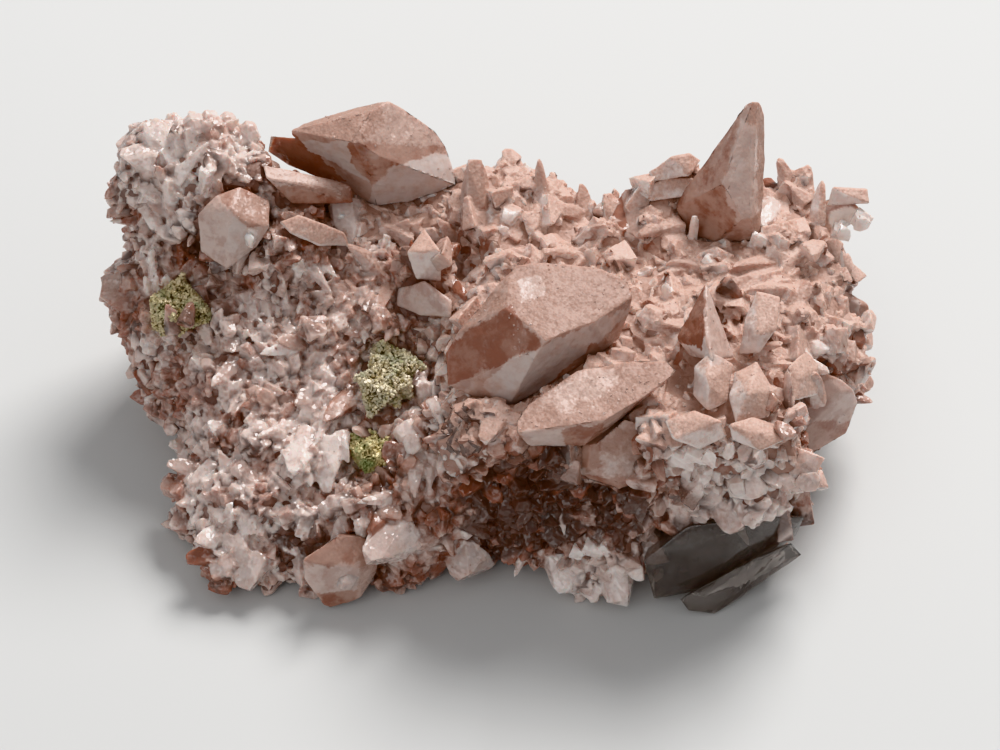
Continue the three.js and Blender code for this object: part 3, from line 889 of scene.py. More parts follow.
# How the small crystals differ from one place to another: a point of the camera's frame, how far round it
# the tint reaches, and the tone, stain and dust there.
TINTS = (
    ((180, 150), 60, {"tone": 0.0, "stain": 0.0, "dust": 0.25}),
    ((135, 230), 35, {"tone": 0.3, "stain": 0.5, "dust": 0.0}),
    ((125, 310), 30, {"tone": 0.6, "stain": 0.5, "dust": 0.2}),
    ((260, 320), 55, {"tone": 0.1, "stain": 0.15, "dust": 0.2}),
    ((190, 400), 50, {"tone": 0.4, "stain": 0.4, "dust": 0.1}),
    ((310, 400), 45, {"tone": 0.15, "stain": 0.2, "dust": 0.15}),
    ((230, 500), 60, {"tone": 0.2, "stain": 0.2, "dust": 0.2}),
    ((320, 470), 40, {"tone": 0.1, "stain": 0.1, "dust": 0.1}),
    ((330, 270), 60, {"tone": 0.5, "stain": 0.4, "dust": 0.7}),
    ((430, 270), 50, {"tone": 0.6, "stain": 0.5, "dust": 0.8}),
    ((390, 370), 40, {"tone": 0.6, "stain": 0.3, "dust": 0.0}),
    ((380, 460), 40, {"tone": 0.8, "stain": 0.6, "dust": 0.0}),
    ((430, 560), 45, {"tone": 0.5, "stain": 0.6, "dust": 0.2}),
    # The darkest tone and heavy stain round the recess under the front crystals stand partly for painted
    # shade in that recess.
    ((540, 490), 55, {"tone": 1.0, "stain": 0.75, "dust": 0.0}),
    ((490, 530), 30, {"tone": 0.6, "stain": 0.7, "dust": 0.2}),
    ((590, 580), 45, {"tone": 0.1, "stain": 0.1, "dust": 0.1}),
    ((620, 500), 30, {"tone": 0.5, "stain": 0.7, "dust": 0.0}),
    ((760, 490), 45, {"tone": 0.0, "stain": 0.0, "dust": 0.05}),
    ((710, 470), 40, {"tone": 0.0, "stain": 0.0, "dust": 0.2}),
    ((830, 400), 40, {"tone": 0.4, "stain": 0.4, "dust": 0.5}),
)


def tinted(place, values):
    """Draws the values of a small crystal towards the tints near its place."""
    x, y = frame_point(place)
    pulls = []
    for at, reach, look in TINTS:
        pulls.append((math.exp(-((x - at[0]) ** 2 + (y - at[1]) ** 2) / (reach * reach)), look))
    total = sum(pull for pull, _ in pulls)
    share = TINT_SHARE * min(total, 1)
    drawn = {}
    for name, value in values.items():
        towards = sum(pull * look[name] for pull, look in pulls)
        drawn[name] = value * (1 - share) + share * towards / max(total, 1e-9)
    # Painted shade: most crystals in the places where shade is painted get a low rise, which darkens them.
    if in_painted_shade((x, y)) and noise.noise(place / (2 * MM)) > -0.25:
        drawn["rise"] = PAINTED_SHADE_RISE
    return drawn


def kind_at(place, normal, dice=None):
    """Which growth covers a place, with soft borders between them if there are dice."""
    x, y, z = (v / MM for v in place)
    if dice:
        x += dice.uniform(-2.5, 2.5)
        z += dice.uniform(-2, 2)
    if normal.z < -0.15 or (y < -9 and z < 17 and x > -12) or (normal.y > 0.75 and z < 14):
        return "low"
    if x > -6 or (y > 12 and x > -20):
        return "blades"
    return "fine"


def scattered(bm, tries, seed):
    """Random places on a mesh, with the normals there."""
    bmesh.ops.triangulate(bm, faces=bm.faces)
    bm.normal_update()
    faces = [face for face in bm.faces if face.calc_center_median().z > 0.3 * MM]
    areas = [face.calc_area() for face in faces]
    dice = random.Random(seed)
    for face in dice.choices(faces, weights=areas, k=tries):
        a, b = dice.random(), dice.random()
        if a + b > 1:
            a, b = 1 - a, 1 - b
        corners = [vert.co for vert in face.verts]
        place = corners[0] + (corners[1] - corners[0]) * a + (corners[2] - corners[0]) * b
        yield place, face.normal.copy()


class Neighbours:
    """Remembers crystals in a grid, to keep new ones from standing too near them."""

    def __init__(self, cell):
        self.cell = cell
        self.grid = {}

    def key(self, place):
        return tuple(math.floor(v / self.cell) for v in place)

    def clear_of(self, place, width):
        i, j, k = self.key(place)
        for di in (-1, 0, 1):
            for dj in (-1, 0, 1):
                for dk in (-1, 0, 1):
                    for other, other_width in self.grid.get((i + di, j + dj, k + dk), ()):
                        if (other - place).length < (width + other_width) / 2:
                            return False
        return True

    def add(self, place, width):
        self.grid.setdefault(self.key(place), []).append((place, width))


def sown(ground, kinds, seed):
    """Each small crystal, from the widest down: its growth, place, axis, broad side, width and height."""
    dice = random.Random(seed)
    noise.seed_set(seed)
    near = Neighbours(6 * MM)
    for level in range(4):
        for place, normal in scattered(ground, FIRST_TRIES * (level + 1), seed + level):
            name = kind_at(place, normal, dice)
            kind = kinds[name]
            width = kind.width * kind.passes[level] * dice.uniform(0.85, 1.2)
            if not near.clear_of(place, width * APART):
                continue
            near.add(place, width * APART)
            drift = noise.noise_vector(place / (LEAN_SIZE * MM))
            drift = (drift - normal * drift.dot(normal)) * LEAN_SHARE
            jitter = Vector([dice.gauss(0, 0.5) for _ in range(3)])
            axis = (normal + drift * kind.lying + jitter * kind.lean).normalized()
            if axis.dot(normal) < 0.25:
                axis = (axis + normal * 0.6).normalized()
            face = jitter.normalized()
            yield name, place, axis, face, width, dice.uniform(*kind.tall) * width


# ------------------------------------------------------------------------------------------ chosen crystals

# Crystals that are set one by one. Each row holds its habit, the points of the camera's frame where its foot
# and its tip are seen, how far the tip stands out towards the camera, its width and its thickness, these in
# millimetres, and where it isn't the camera, the way that its broad side looks.
UP = Vector((0.05, 0.15, 1.0))

CHOSEN = {
    "pale": [
        # upper left corner
        ("block", (163, 150), (150, 121), 0.8, 4.2, 3.4),
        ("block", (146, 160), (121, 152), 0.8, 3.4, 3.0),
        ("block", (148, 146), (134, 131), 1.2, 2.4, 2.0),
        ("head", (196, 128), (191, 113), 0.6, 2.8, 2.4),
        ("head", (212, 126), (206, 109), 0.6, 2.6, 2.2),
        ("block", (198, 131), (215, 122), 1.6, 1.5, 1.2),
        ("head", (229, 128), (226, 111), 0.8, 2.4, 2.2),
        ("block", (226, 128), (240, 120), 1.6, 1.5, 1.1),
        ("head", (250, 136), (246, 120), 0.6, 2.4, 2.0),
        ("block", (192, 146), (188, 129), 1.6, 1.7, 1.5),
        ("blade", (182, 172), (210, 142), 1.6, 2.2, 1.2),
        ("blade", (212, 160), (228, 130), 1.4, 1.3, 1.0),
        ("tooth", (146, 168), (116, 184), 1.2, 2.2, 1.8),
        ("tooth", (176, 178), (132, 190), 2.0, 3.0, 2.2),
        ("block", (175, 165), (162, 150), 1.6, 2.0, 1.8),
        ("head", (172, 206), (166, 178), 1.8, 2.0, 1.6),
        ("tooth", (136, 220), (108, 222), 0.6, 1.5, 1.3),
        ("blade", (130, 218), (144, 250), 1.2, 1.8, 1.2),
        ("head", (148, 210), (160, 232), 1.4, 2.2, 1.6),
        ("block", (172, 240), (176, 222), 1.6, 1.8, 1.5),
        # left slope
        ("head", (148, 290), (146, 275), 1.0, 1.1, 0.9),
        ("block", (249, 303), (252, 330), 1.8, 2.3, 1.6),
        ("blade", (266, 311), (263, 271), 1.6, 1.5, 1.1),
        ("blade", (286, 306), (284, 279), 1.6, 1.1, 0.8),
        ("tooth", (231, 328), (239, 345), 1.4, 1.1, 0.9),
        ("tooth", (288, 347), (259, 355), 1.8, 2.0, 1.5),
        ("blade", (282, 362), (264, 366), 1.4, 1.0, 0.8),
        ("tooth", (234, 364), (211, 388), 2.4, 2.6, 1.8),
        ("blade", (245, 385), (228, 414), 2.4, 1.4, 1.0),
        ("head", (270, 396), (262, 380), 1.4, 1.6, 1.2),
        ("block", (229, 442), (209, 421), 2.0, 2.8, 2.2),
        ("block", (227, 470), (219, 450), 1.8, 1.8, 1.5),
        ("block", (213, 469), (191, 484), 2.0, 2.8, 2.0),
        ("block", (188, 452), (170, 443), 1.2, 2.3, 2.0),
        ("head", (199, 490), (175, 492), 1.2, 2.3, 1.8),
        ("head", (198, 504), (174, 503), 0.8, 1.3, 1.1),
        ("block", (200, 512), (184, 514), 0.8, 1.6, 1.3),
        ("tooth", (274, 500), (288, 531), 2.2, 2.2, 1.5),
        ("block", (248, 520), (256, 532), 2.0, 3.0, 2.2),
        ("block", (226, 512), (222, 522), 2.0, 2.2, 1.8),
        ("block", (216, 540), (196, 538), 1.4, 3.0, 2.4),
        ("block", (238, 545), (252, 560), 1.6, 3.2, 2.4),
        ("block", (212, 556), (204, 566), 1.2, 2.4, 2.0),
        ("tooth", (298, 424), (256, 437), 2.0, 2.3, 1.7),
        ("blade", (327, 418), (316, 445), 2.0, 1.7, 1.0),
        ("block", (306, 446), (292, 472), 2.4, 4.0, 3.4),
        ("block", (330, 452), (330, 492), 2.6, 4.6, 3.8),
        ("block", (342, 440), (350, 462), 1.6, 2.2, 1.8),
        ("tooth", (390, 497), (356, 503), 1.8, 2.0, 1.4),
        ("head", (361, 532), (358, 517), 1.6, 1.9, 1.4),
        ("block", (400, 538), (366, 556), 2.2, 5.0, 4.0),
        ("tooth", (452, 536), (414, 535), 2.0, 2.0, 1.5),
        ("tooth", (456, 546), (422, 545), 1.8, 1.7, 1.3),
        ("blade", (404, 521), (414, 541), 1.2, 0.9, 0.7),
        ("block", (352, 395), (345, 412), 1.6, 1.6, 1.3),
        ("tooth", (362, 322), (366, 346), 1.6, 1.3, 0.9),
        ("head", (302, 298), (297, 316), 1.6, 0.8, 0.6),
        ("tooth", (312, 250), (339, 279), 2.2, 1.7, 1.2),
        ("block", (402, 422), (430, 436), 2.0, 2.6, 2.0),
        ("block", (408, 432), (420, 451), 2.2, 3.2, 2.4),
        ("tooth", (433, 461), (459, 471), 1.4, 1.1, 0.9),
        ("blade", (436, 408), (448, 436), 1.4, 1.6, 1.1),
        # top, between the large crystals
        ("blade", (458, 207), (486, 198), 1.4, 1.1, 0.8),
        ("blade", (482, 240), (472, 215), 1.6, 0.9, 0.7),
        ("head", (527, 180), (526, 161), 0.8, 1.1, 0.9),
        ("head", (630, 214), (627, 198), 1.0, 1.0, 0.8),
        ("blade", (634, 279), (660, 265), 1.4, 1.0, 0.7),
        ("head", (667, 304), (665, 281), 2.4, 1.5, 1.2),
        ("head", (638, 306), (637, 286), 1.6, 1.0, 0.9),
        ("head", (693, 236), (695, 214), 2.0, 1.3, 1.0),
        ("head", (768, 194), (766, 170), 1.4, 1.1, 0.9),
        ("head", (824, 268), (819, 240), 1.4, 2.0, 1.5),
        ("tooth", (846, 266), (841, 246), 0.6, 1.0, 0.8),
        ("head", (808, 346), (830, 350), 1.2, 1.8, 1.4),
        ("head", (810, 362), (830, 374), 1.2, 1.7, 1.3),
        ("block", (772, 210), (762, 226), 1.6, 3.0, 1.8),
        ("block", (806, 214), (786, 226), 1.6, 2.6, 1.6),
        # right front
        ("head", (722, 470), (714, 500), 2.0, 3.4, 2.4),
        ("head", (694, 476), (690, 504), 1.6, 2.4, 1.8),
        ("tooth", (743, 528), (749, 547), 1.0, 1.4, 1.1),
        ("tooth", (562, 513), (565, 537), 1.4, 1.3, 1.0),
        ("tooth", (524, 554), (513, 578), 1.4, 1.7, 1.3),
        ("block", (560, 566), (566, 592), 1.8, 3.6, 3.0),
        ("block", (590, 572), (596, 601), 2.0, 4.0, 3.2),
        ("block", (616, 574), (620, 607), 2.0, 4.2, 3.2),
        ("block", (552, 580), (548, 596), 1.2, 2.6, 2.2),
        ("block", (634, 562), (642, 580), 1.4, 2.6, 2.2),
    ],
    "pink": [
        # left
        ("block", (142, 296), (102, 290), 1.4, 7.2, 5.0),
        ("block", (136, 322), (117, 326), 1.0, 2.6, 2.2),
        ("block", (172, 326), (168, 305), 1.8, 2.2, 1.8),
        ("block", (156, 332), (148, 311), 1.2, 2.0, 1.6),
        ("tooth", (292, 404), (240, 406), 2.6, 3.8, 2.8),
        ("block", (184, 428), (160, 408), 1.6, 3.4, 2.8),
        ("block", (192, 470), (168, 463), 1.2, 2.3, 1.8),
        ("block", (206, 362), (184, 372), 1.6, 2.4, 1.8),
        ("block", (196, 300), (210, 345), 1.0, 2.6, 1.6),
        ("head", (154, 412), (150, 396), 1.0, 1.5, 1.2),
        ("block", (350, 400), (324, 420), 1.8, 2.8, 2.2),
        ("tooth", (464, 444), (434, 410), 1.8, 2.6, 2.0),
        ("tooth", (476, 445), (456, 448), 1.6, 1.9, 1.5),
        ("blade", (480, 510), (478, 547), 1.6, 1.4, 1.1),
        ("tooth", (500, 513), (495, 547), 1.8, 2.2, 1.7),
        ("tooth", (512, 518), (513, 547), 1.8, 1.9, 1.4),
        ("tooth", (538, 520), (522, 543), 1.6, 1.7, 1.2),
        ("tooth", (460, 536), (469, 554), 1.6, 1.8, 1.4),
        ("tooth", (482, 546), (479, 561), 1.4, 1.3, 1.1),
        ("tooth", (456, 552), (436, 562), 1.6, 1.9, 1.5),
        ("tooth", (292, 518), (308, 546), 1.4, 1.7, 1.3),
        ("block", (262, 386), (284, 392), 1.4, 2.2, 1.6),
        ("block", (228, 226), (210, 212), 1.0, 1.8, 1.4),
        ("block", (200, 200), (186, 205), 1.2, 2.6, 2.0),
        ("block", (300, 345), (278, 340), 1.4, 2.4, 1.8),
        # right
        ("tooth", (664, 462), (662, 494), 1.4, 3.0, 2.4),
        ("blade", (796, 500), (789, 430), 1.2, 2.4, 1.8),
        ("blade", (804, 506), (800, 450), 1.2, 2.2, 1.6),
        ("blade", (784, 524), (782, 474), 1.6, 2.0, 1.4),
        ("block", (636, 204), (640, 238), 1.6, 3.2, 2.2),
        ("blade", (776, 404), (779, 360), 1.6, 1.8, 1.2),
        ("head", (788, 404), (787, 366), 1.6, 1.2, 0.9),
    ],
    "smoky": [
        ("block", (203, 396), (176, 384), 1.6, 2.4, 1.8),
        ("block", (256, 440), (238, 461), 1.8, 3.0, 2.2),
        ("tooth", (172, 214), (146, 202), 1.2, 2.2, 1.6),
        ("block", (346, 214), (353, 248), 2.0, 4.0, 3.0),
        ("blade", (309, 264), (332, 294), 1.8, 2.4, 1.3),
        ("blade", (444, 288), (460, 250), 2.2, 2.8, 1.6),
        ("tooth", (415, 446), (417, 500), 2.6, 2.8, 2.2),
        ("tooth", (431, 450), (430, 497), 2.4, 1.9, 1.6),
        ("tooth", (403, 464), (398, 490), 1.6, 1.1, 0.9),
        ("block", (448, 480), (442, 502), 1.4, 2.6, 2.0),
        ("block", (320, 392), (296, 404), 1.6, 3.0, 2.2),
        ("tooth", (338, 548), (343, 512), 1.6, 3.6, 2.6),
        ("head", (300, 558), (303, 588), 1.4, 2.2, 1.8),
        ("block", (470, 556), (456, 578), 1.6, 5.8, 4.2),
        ("block", (254, 562), (246, 589), 0.8, 4.4, 3.4),
        ("block", (222, 566), (212, 574), 0.6, 3.0, 2.4),
        ("block", (612, 524), (625, 543), 1.2, 2.8, 2.2),
        ("block", (724, 498), (738, 530), 2.0, 4.2, 3.2),
        ("block", (690, 500), (706, 522), 1.4, 3.0, 2.4),
        ("block", (760, 480), (752, 524), 2.6, 4.8, 3.6),
        ("head", (350, 570), (340, 590), 1.2, 3.2, 2.4),
        ("block", (650, 540), (664, 560), 1.0, 3.6, 2.8),
    ],
    "dark": [
        ("block", (146, 386), (134, 372), 1.0, 2.0, 1.6),
        ("block", (208, 556), (187, 561), 0.8, 2.6, 2.2),
        ("tooth", (414, 280), (411, 238), 2.0, 2.4, 1.8),
        ("block", (416, 546), (418, 573), 1.2, 3.4, 3.0),
        ("block", (482, 478), (462, 494), 1.8, 2.4, 2.0),
        ("block", (490, 482), (498, 502), 1.8, 2.8, 2.2),
        ("block", (584, 478), (578, 498), 0.8, 3.0, 2.6),
        ("block", (630, 494), (614, 502), 1.0, 3.0, 2.6),
        ("block", (624, 212), (619, 238), 1.8, 2.4, 1.8),
        ("block", (770, 190), (792, 200), 1.4, 2.8, 2.0),
        ("tooth", (452, 282), (470, 300), 1.8, 2.2, 1.6),
        ("block", (326, 242), (300, 246), 0.8, 2.0, 1.4),
    ],
    "dusty": [
        # back edge
        ("block", (476, 196), (474, 160), 1.0, 3.6, 2.6),
        ("block", (506, 200), (500, 167), 0.8, 3.2, 2.6),
        ("tooth", (543, 200), (538, 157), 0.8, 3.0, 2.4),
        ("block", (562, 208), (560, 180), 0.8, 2.6, 2.2),
        ("block", (584, 214), (580, 184), 0.8, 2.8, 2.4),
        ("block", (612, 218), (606, 194), 0.8, 2.8, 2.4),
        ("block", (572, 214), (544, 208), 1.4, 2.4, 1.8),
        ("block", (540, 226), (520, 214), 1.4, 2.4, 1.8),
        ("block", (590, 236), (606, 226), 1.6, 3.0, 1.8),
        # plateau
        ("slab", (542, 254), (492, 252), 1.6, 2.8, 1.8, UP),
        ("slab", (584, 256), (544, 250), 1.4, 2.4, 1.6, UP),
        ("slab", (636, 258), (580, 258), 1.4, 2.4, 1.6, UP),
        ("slab", (672, 226), (640, 232), 1.2, 2.6, 1.8, UP),
        ("slab", (706, 250), (662, 244), 1.4, 2.8, 1.6, UP),
        ("slab", (704, 266), (664, 262), 1.0, 2.2, 1.4, UP),
        ("slab", (740, 252), (702, 256), 1.6, 2.6, 1.6, UP),
        ("slab", (768, 262), (728, 268), 1.6, 3.0, 1.8, UP),
        ("slab", (766, 276), (722, 284), 1.8, 2.8, 1.8, UP),
        ("slab", (778, 288), (744, 290), 1.6, 2.8, 1.8, UP),
        ("slab", (720, 296), (742, 318), 1.2, 2.6, 1.6, UP),
        ("slab", (686, 268), (650, 280), 1.2, 2.4, 1.6, UP),
        ("slab", (682, 300), (640, 302), 1.2, 2.2, 1.6, UP),
        ("slab", (680, 326), (644, 324), 1.2, 2.4, 1.6, UP),
        ("slab", (674, 340), (642, 340), 1.2, 2.0, 1.4, UP),
        ("block", (800, 256), (780, 262), 1.6, 2.8, 1.8),
        ("block", (812, 262), (803, 244), 1.6, 2.2, 1.4),
        ("block", (806, 292), (790, 308), 1.4, 2.6, 1.8),
        ("tooth", (786, 176), (778, 157), 0.6, 2.8, 2.2),
        ("tooth", (806, 196), (807, 163), 0.6, 2.8, 2.2),
        ("tooth", (818, 214), (821, 178), 0.6, 2.4, 2.0),
        ("slab", (796, 244), (770, 238), 1.6, 2.6, 1.8, UP),
        # plates of the right front
        ("slab", (738, 352), (780, 342), 1.6, 2.0, 1.6, UP),
        ("slab", (802, 330), (784, 318), 1.4, 2.4, 1.6, UP),
        ("block", (806, 344), (812, 326), 1.2, 2.0, 1.4),
        ("slab", (772, 368), (744, 362), 1.8, 2.2, 1.4, UP),
        ("block", (816, 396), (812, 372), 1.4, 2.6, 1.8),
        ("slab", (690, 444), (664, 416), 1.8, 3.2, 2.0, UP),
        ("block", (650, 440), (642, 414), 1.2, 2.0, 1.6),
        ("block", (760, 462), (800, 446), 1.6, 2.4, 1.8),
        # left
        ("block", (392, 282), (378, 318), 2.4, 2.4, 1.8),
        ("slab", (386, 276), (350, 242), 1.6, 3.0, 2.0, UP),
        ("slab", (368, 312), (348, 278), 1.4, 2.6, 1.8, UP),
        ("slab", (452, 334), (414, 326), 1.6, 1.8, 1.4, UP),
        ("block", (500, 416), (484, 442), 2.0, 3.0, 2.0),
        ("block", (496, 434), (500, 458), 2.0, 3.4, 2.4),
        ("slab", (276, 262), (300, 256), 1.4, 2.6, 1.8, UP),
        ("slab", (258, 280), (270, 262), 1.4, 2.4, 1.8, UP),
        ("slab", (452, 236), (440, 220), 1.4, 2.4, 1.8, UP),
        ("slab", (404, 234), (380, 226), 1.4, 2.8, 1.8, UP),
        ("block", (340, 300), (352, 318), 1.4, 2.6, 1.8),
        ("block", (326, 326), (338, 340), 1.4, 2.6, 1.8),
    ],
}

# Flat faces that throw the light of the key lamp at the camera: the ends of each stretch of them, then how
# far they stand out, their width and their thickness, in millimetres.
BRIGHT_FACES = (
    ((206, 190), (207, 166), 2.4, 1.3, 0.5),
    ((152, 276), (154, 246), 1.8, 0.9, 0.4),
    ((152, 280), (171, 278), 1.8, 1.0, 0.4),
    ((240, 228), (257, 236), 2.6, 1.2, 0.4),
    ((145, 400), (150, 382), 1.6, 0.9, 0.4),
    ((276, 435), (254, 435), 2.6, 1.1, 0.4),
    ((202, 504), (206, 488), 2.2, 0.7, 0.3),
    ((231, 522), (232, 505), 2.8, 0.8, 0.3),
    ((280, 548), (299, 549), 2.0, 0.7, 0.3),
    ((297, 274), (303, 260), 2.0, 1.0, 0.4),
    ((380, 245), (389, 236), 2.0, 1.0, 0.4),
    ((332, 218), (346, 216), 2.2, 0.8, 0.3),
    ((488, 214), (520, 213), 1.8, 2.2, 0.6),
    ((496, 228), (508, 228), 1.4, 0.6, 0.3),
    ((844, 214), (868, 220), 2.2, 2.6, 0.8),
    ((832, 230), (852, 228), 2.0, 2.0, 0.6),
    ((752, 236), (766, 235), 1.8, 1.4, 0.8),
    ((788, 355), (811, 354), 2.4, 2.2, 0.7),
    ((682, 452), (718, 448), 3.0, 2.4, 0.7),
    ((684, 466), (706, 466), 2.4, 1.2, 0.5),
    ((692, 478), (712, 470), 2.4, 1.2, 0.5),
    ((722, 450), (735, 446), 2.4, 0.9, 0.4),
    ((750, 450), (763, 446), 2.4, 0.8, 0.3),
    ((756, 498), (784, 504), 3.2, 2.2, 0.7),
    ((740, 508), (760, 520), 3.0, 0.8, 0.4),
    ((572, 546), (606, 552), 2.2, 2.0, 0.8),
    ((606, 562), (630, 564), 2.4, 1.4, 0.6),
    ((567, 548), (574, 592), 2.2, 1.0, 0.4),
    ((458, 530), (476, 526), 2.0, 0.8, 0.4),
    ((430, 520), (450, 521), 2.0, 0.6, 0.3),
    ((366, 546), (376, 541), 2.6, 0.8, 0.4),
    ((738, 264), (756, 262), 2.2, 1.0, 0.5),
    ((700, 260), (718, 258), 2.0, 1.0, 0.5),
)
CHOSEN["glint"] = [("plate", *row, GLINT) for row in BRIGHT_FACES]

# The values of each look of a chosen crystal. A rise of 0.7 or more keeps the painted shade off its foot.
LOOKS = {
    "pale": {"tone": (0.0, 0.3), "stain": (0.0, 0.15), "dust": (0.0, 0.25), "rise": (0.7, 1.0)},
    "pink": {"tone": (0.3, 0.8), "stain": (0.1, 0.5), "dust": (0.2, 0.6)},
    "smoky": {
        "tone": (0.0, 0.3), "stain": (0.0, 0.1), "dust": (0.0, 0.1), "smoke": (0.3, 0.6), "rise": (0.6, 1.0),
    },
    "dark": {"tone": (0.8, 1.0), "stain": (0.7, 0.9), "dust": (0.0, 0.2)},
    "dusty": {"tone": (0.1, 0.6), "stain": (0.2, 0.5), "dust": (0.95, 1.0), "rise": (0.7, 1.0)},
    # Painted highlight, partly: the bright faces get the whitest clean colour on top of the real gleam that
    # their tilt to the key lamp catches.
    "glint": {"tone": (0.0, 0.1), "stain": (0.0, 0.0), "dust": (0.0, 0.0), "rise": (1.0, 1.0)},
}

# The most faces that a skin keeps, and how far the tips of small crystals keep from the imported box, in
# millimetres.
MOST_FACES = 190000
EDGE_ROOM = 0.25

# How much of their height the chosen crystals keep, and how steeply they may follow the crust towards the
# camera.
LIFT_SHARE = 0.55
STEEPEST = 0.6

# How deep the crystal behind a bright face reaches in, in millimetres, and how far such faces turn away.
BRIGHT_DEPTH = 2.0
BRIGHT_SPREAD = 0.05

# How many of the finest crystals are tried on each piece.
SUGAR = {
    "fine_druse": 3200,
    "blades_druse": 2600,
    "low_druse": 1400,
    "back_left_prism": 420,
    "centre_prism": 420,
    "front_prism": 320,
    "wedges": 260,
}


def sight_line(point):
    """The way that the camera looks through a point of its frame."""
    x = (point[0] - FRAME_WIDTH / 2) * SENSOR / (FRAME_WIDTH * LENS)
    y = (FRAME_HEIGHT / 2 - point[1]) * SENSOR / (FRAME_WIDTH * LENS)
    return (Matrix.Rotation(math.pi / 2 - CAMERA_DIP, 3, "X") @ Vector((x, y, -1))).normalized()


def packed_surface():
    """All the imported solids, for finding what the camera sees at a point."""
    bm = solid_of(*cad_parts)
    tree = BVHTree.FromBMesh(bm)
    bm.free()
    return tree


def on_sight_line(point, level):
    """The place that the camera sees at a point of its frame, as near to it as another place."""
    line = sight_line(point)
    return CAMERA_PLACE + line * (level - CAMERA_PLACE).dot(TO_CAMERA) / line.dot(TO_CAMERA)


def seen_at(surface, point, otherwise):
    """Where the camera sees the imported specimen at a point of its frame, or a place as near as another."""
    place = surface.ray_cast(CAMERA_PLACE, sight_line(point))[0]
    if place is None:
        place = on_sight_line(point, otherwise)
    return place


def chosen_rows():
    """Foot, tip, width, thickness and broad side of each chosen crystal, with its look and habit."""
    surface = packed_surface()
    for look, rows in CHOSEN.items():
        for habit, foot_at, tip_at, lift, wide, thick, *side in rows:
            foot = seen_at(surface, foot_at, otherwise=Vector((0, 0, 0.012)))
            along = seen_at(surface, tip_at, foot) - foot
            nearer = along.dot(TO_CAMERA)
            across = along - TO_CAMERA * nearer
            foot += TO_CAMERA * min(nearer, 0)
            nearer = max(0, min(nearer, STEEPEST * across.length)) + lift * LIFT_SHARE * MM
            tip = foot + across + TO_CAMERA * nearer
            yield look, habit, foot, tip, wide * MM, thick * MM, side[0] if side else TO_CAMERA


# ------------------------------------------------------------------------------------------ large crystals

# Flat growth faces on the large crystals: three points of the camera's frame, each with how far the face
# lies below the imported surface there, in millimetres.
FACETS = {
    "back_left_crystal": (
        ((362, 141, 0.1), (378, 100, 0.1), (455, 128, 1.4)),
        ((352, 144, 0.1), (372, 186, 0.2), (300, 150, 2.2)),
        ((396, 146, 0.1), (372, 188, 0.2), (458, 190, 1.5)),
        ((445, 134, 0.1), (462, 156, 0.1), (472, 148, 1.4)),
        ((300, 128, 0.1), (371, 110, 0.1), (330, 108, 0.9)),
    ),
    "centre_crystal": (
        ((509, 304, 0.1), (542, 345, 0.1), (452, 366, 1.6)),
        ((503, 283, 0.1), (511, 305, 0.1), (450, 335, 1.0)),
        ((542, 346, 0.1), (596, 322, 0.1), (530, 390, 1.2)),
        ((596, 322, 0.1), (630, 300, 0.1), (618, 330, 1.0)),
        ((525, 268, 0.1), (600, 268, 0.1), (560, 262, 0.8)),
    ),
    "front_crystal": (
        ((524, 432, 0.1), (600, 424, 0.1), (560, 452, 1.2)),
        ((530, 400, 0.1), (592, 346, 0.1), (548, 372, 1.2)),
        ((640, 398, 0.1), (684, 372, 0.1), (676, 392, 1.4)),
        ((516, 406, 0.1), (522, 432, 0.1), (514, 420, 0.8)),
    ),
    "spire_crystal": (
        ((742, 112, 0.1), (722, 182, 0.1), (670, 212, 2.0)),
        ((757, 118, 0.1), (757, 212, 0.1), (768, 160, 1.8)),
        ((722, 186, 0.1), (738, 222, 0.1), (700, 238, 1.6)),
    ),
    "left_shoulder_crystal": (
        ((220, 192, 0.1), (262, 238, 0.1), (205, 245, 1.2)),
        ((262, 196, 0.1), (284, 222, 0.1), (285, 200, 1.0)),
        ((262, 238, 0.1), (240, 268, 0.1), (275, 262, 1.2)),
    ),
    "round_front_crystal": (
        ((602, 436, 0.1), (600, 466, 0.1), (582, 452, 1.2)),
        ((640, 434, 0.1), (648, 470, 0.1), (662, 450, 1.0)),
        ((600, 474, 0.1), (640, 474, 0.1), (620, 490, 1.2)),
    ),
    "right_back_crystal": (
        ((826, 208, 0.1), (868, 206, 0.1), (850, 240, 1.6)),
        ((845, 190, 0.1), (850, 206, 0.1), (868, 190, 1.0)),
    ),
    "right_end_crystal": (
        ((806, 306, 0.1), (855, 302, 0.1), (830, 340, 1.4)),
        ((835, 268, 0.1), (845, 300, 0.1), (862, 280, 1.0)),
    ),
    "right_front_crystal": (
        ((800, 384, 0.1), (860, 400, 0.1), (830, 372, 1.2)),
        ((802, 424, 0.1), (856, 420, 0.1), (830, 450, 1.2)),
    ),
    "low_left_crystal": (
        ((304, 560, 0.1), (352, 566, 0.1), (330, 548, 1.2)),
        ((318, 592, 0.1), (356, 588, 0.1), (338, 612, 1.0)),
    ),
}

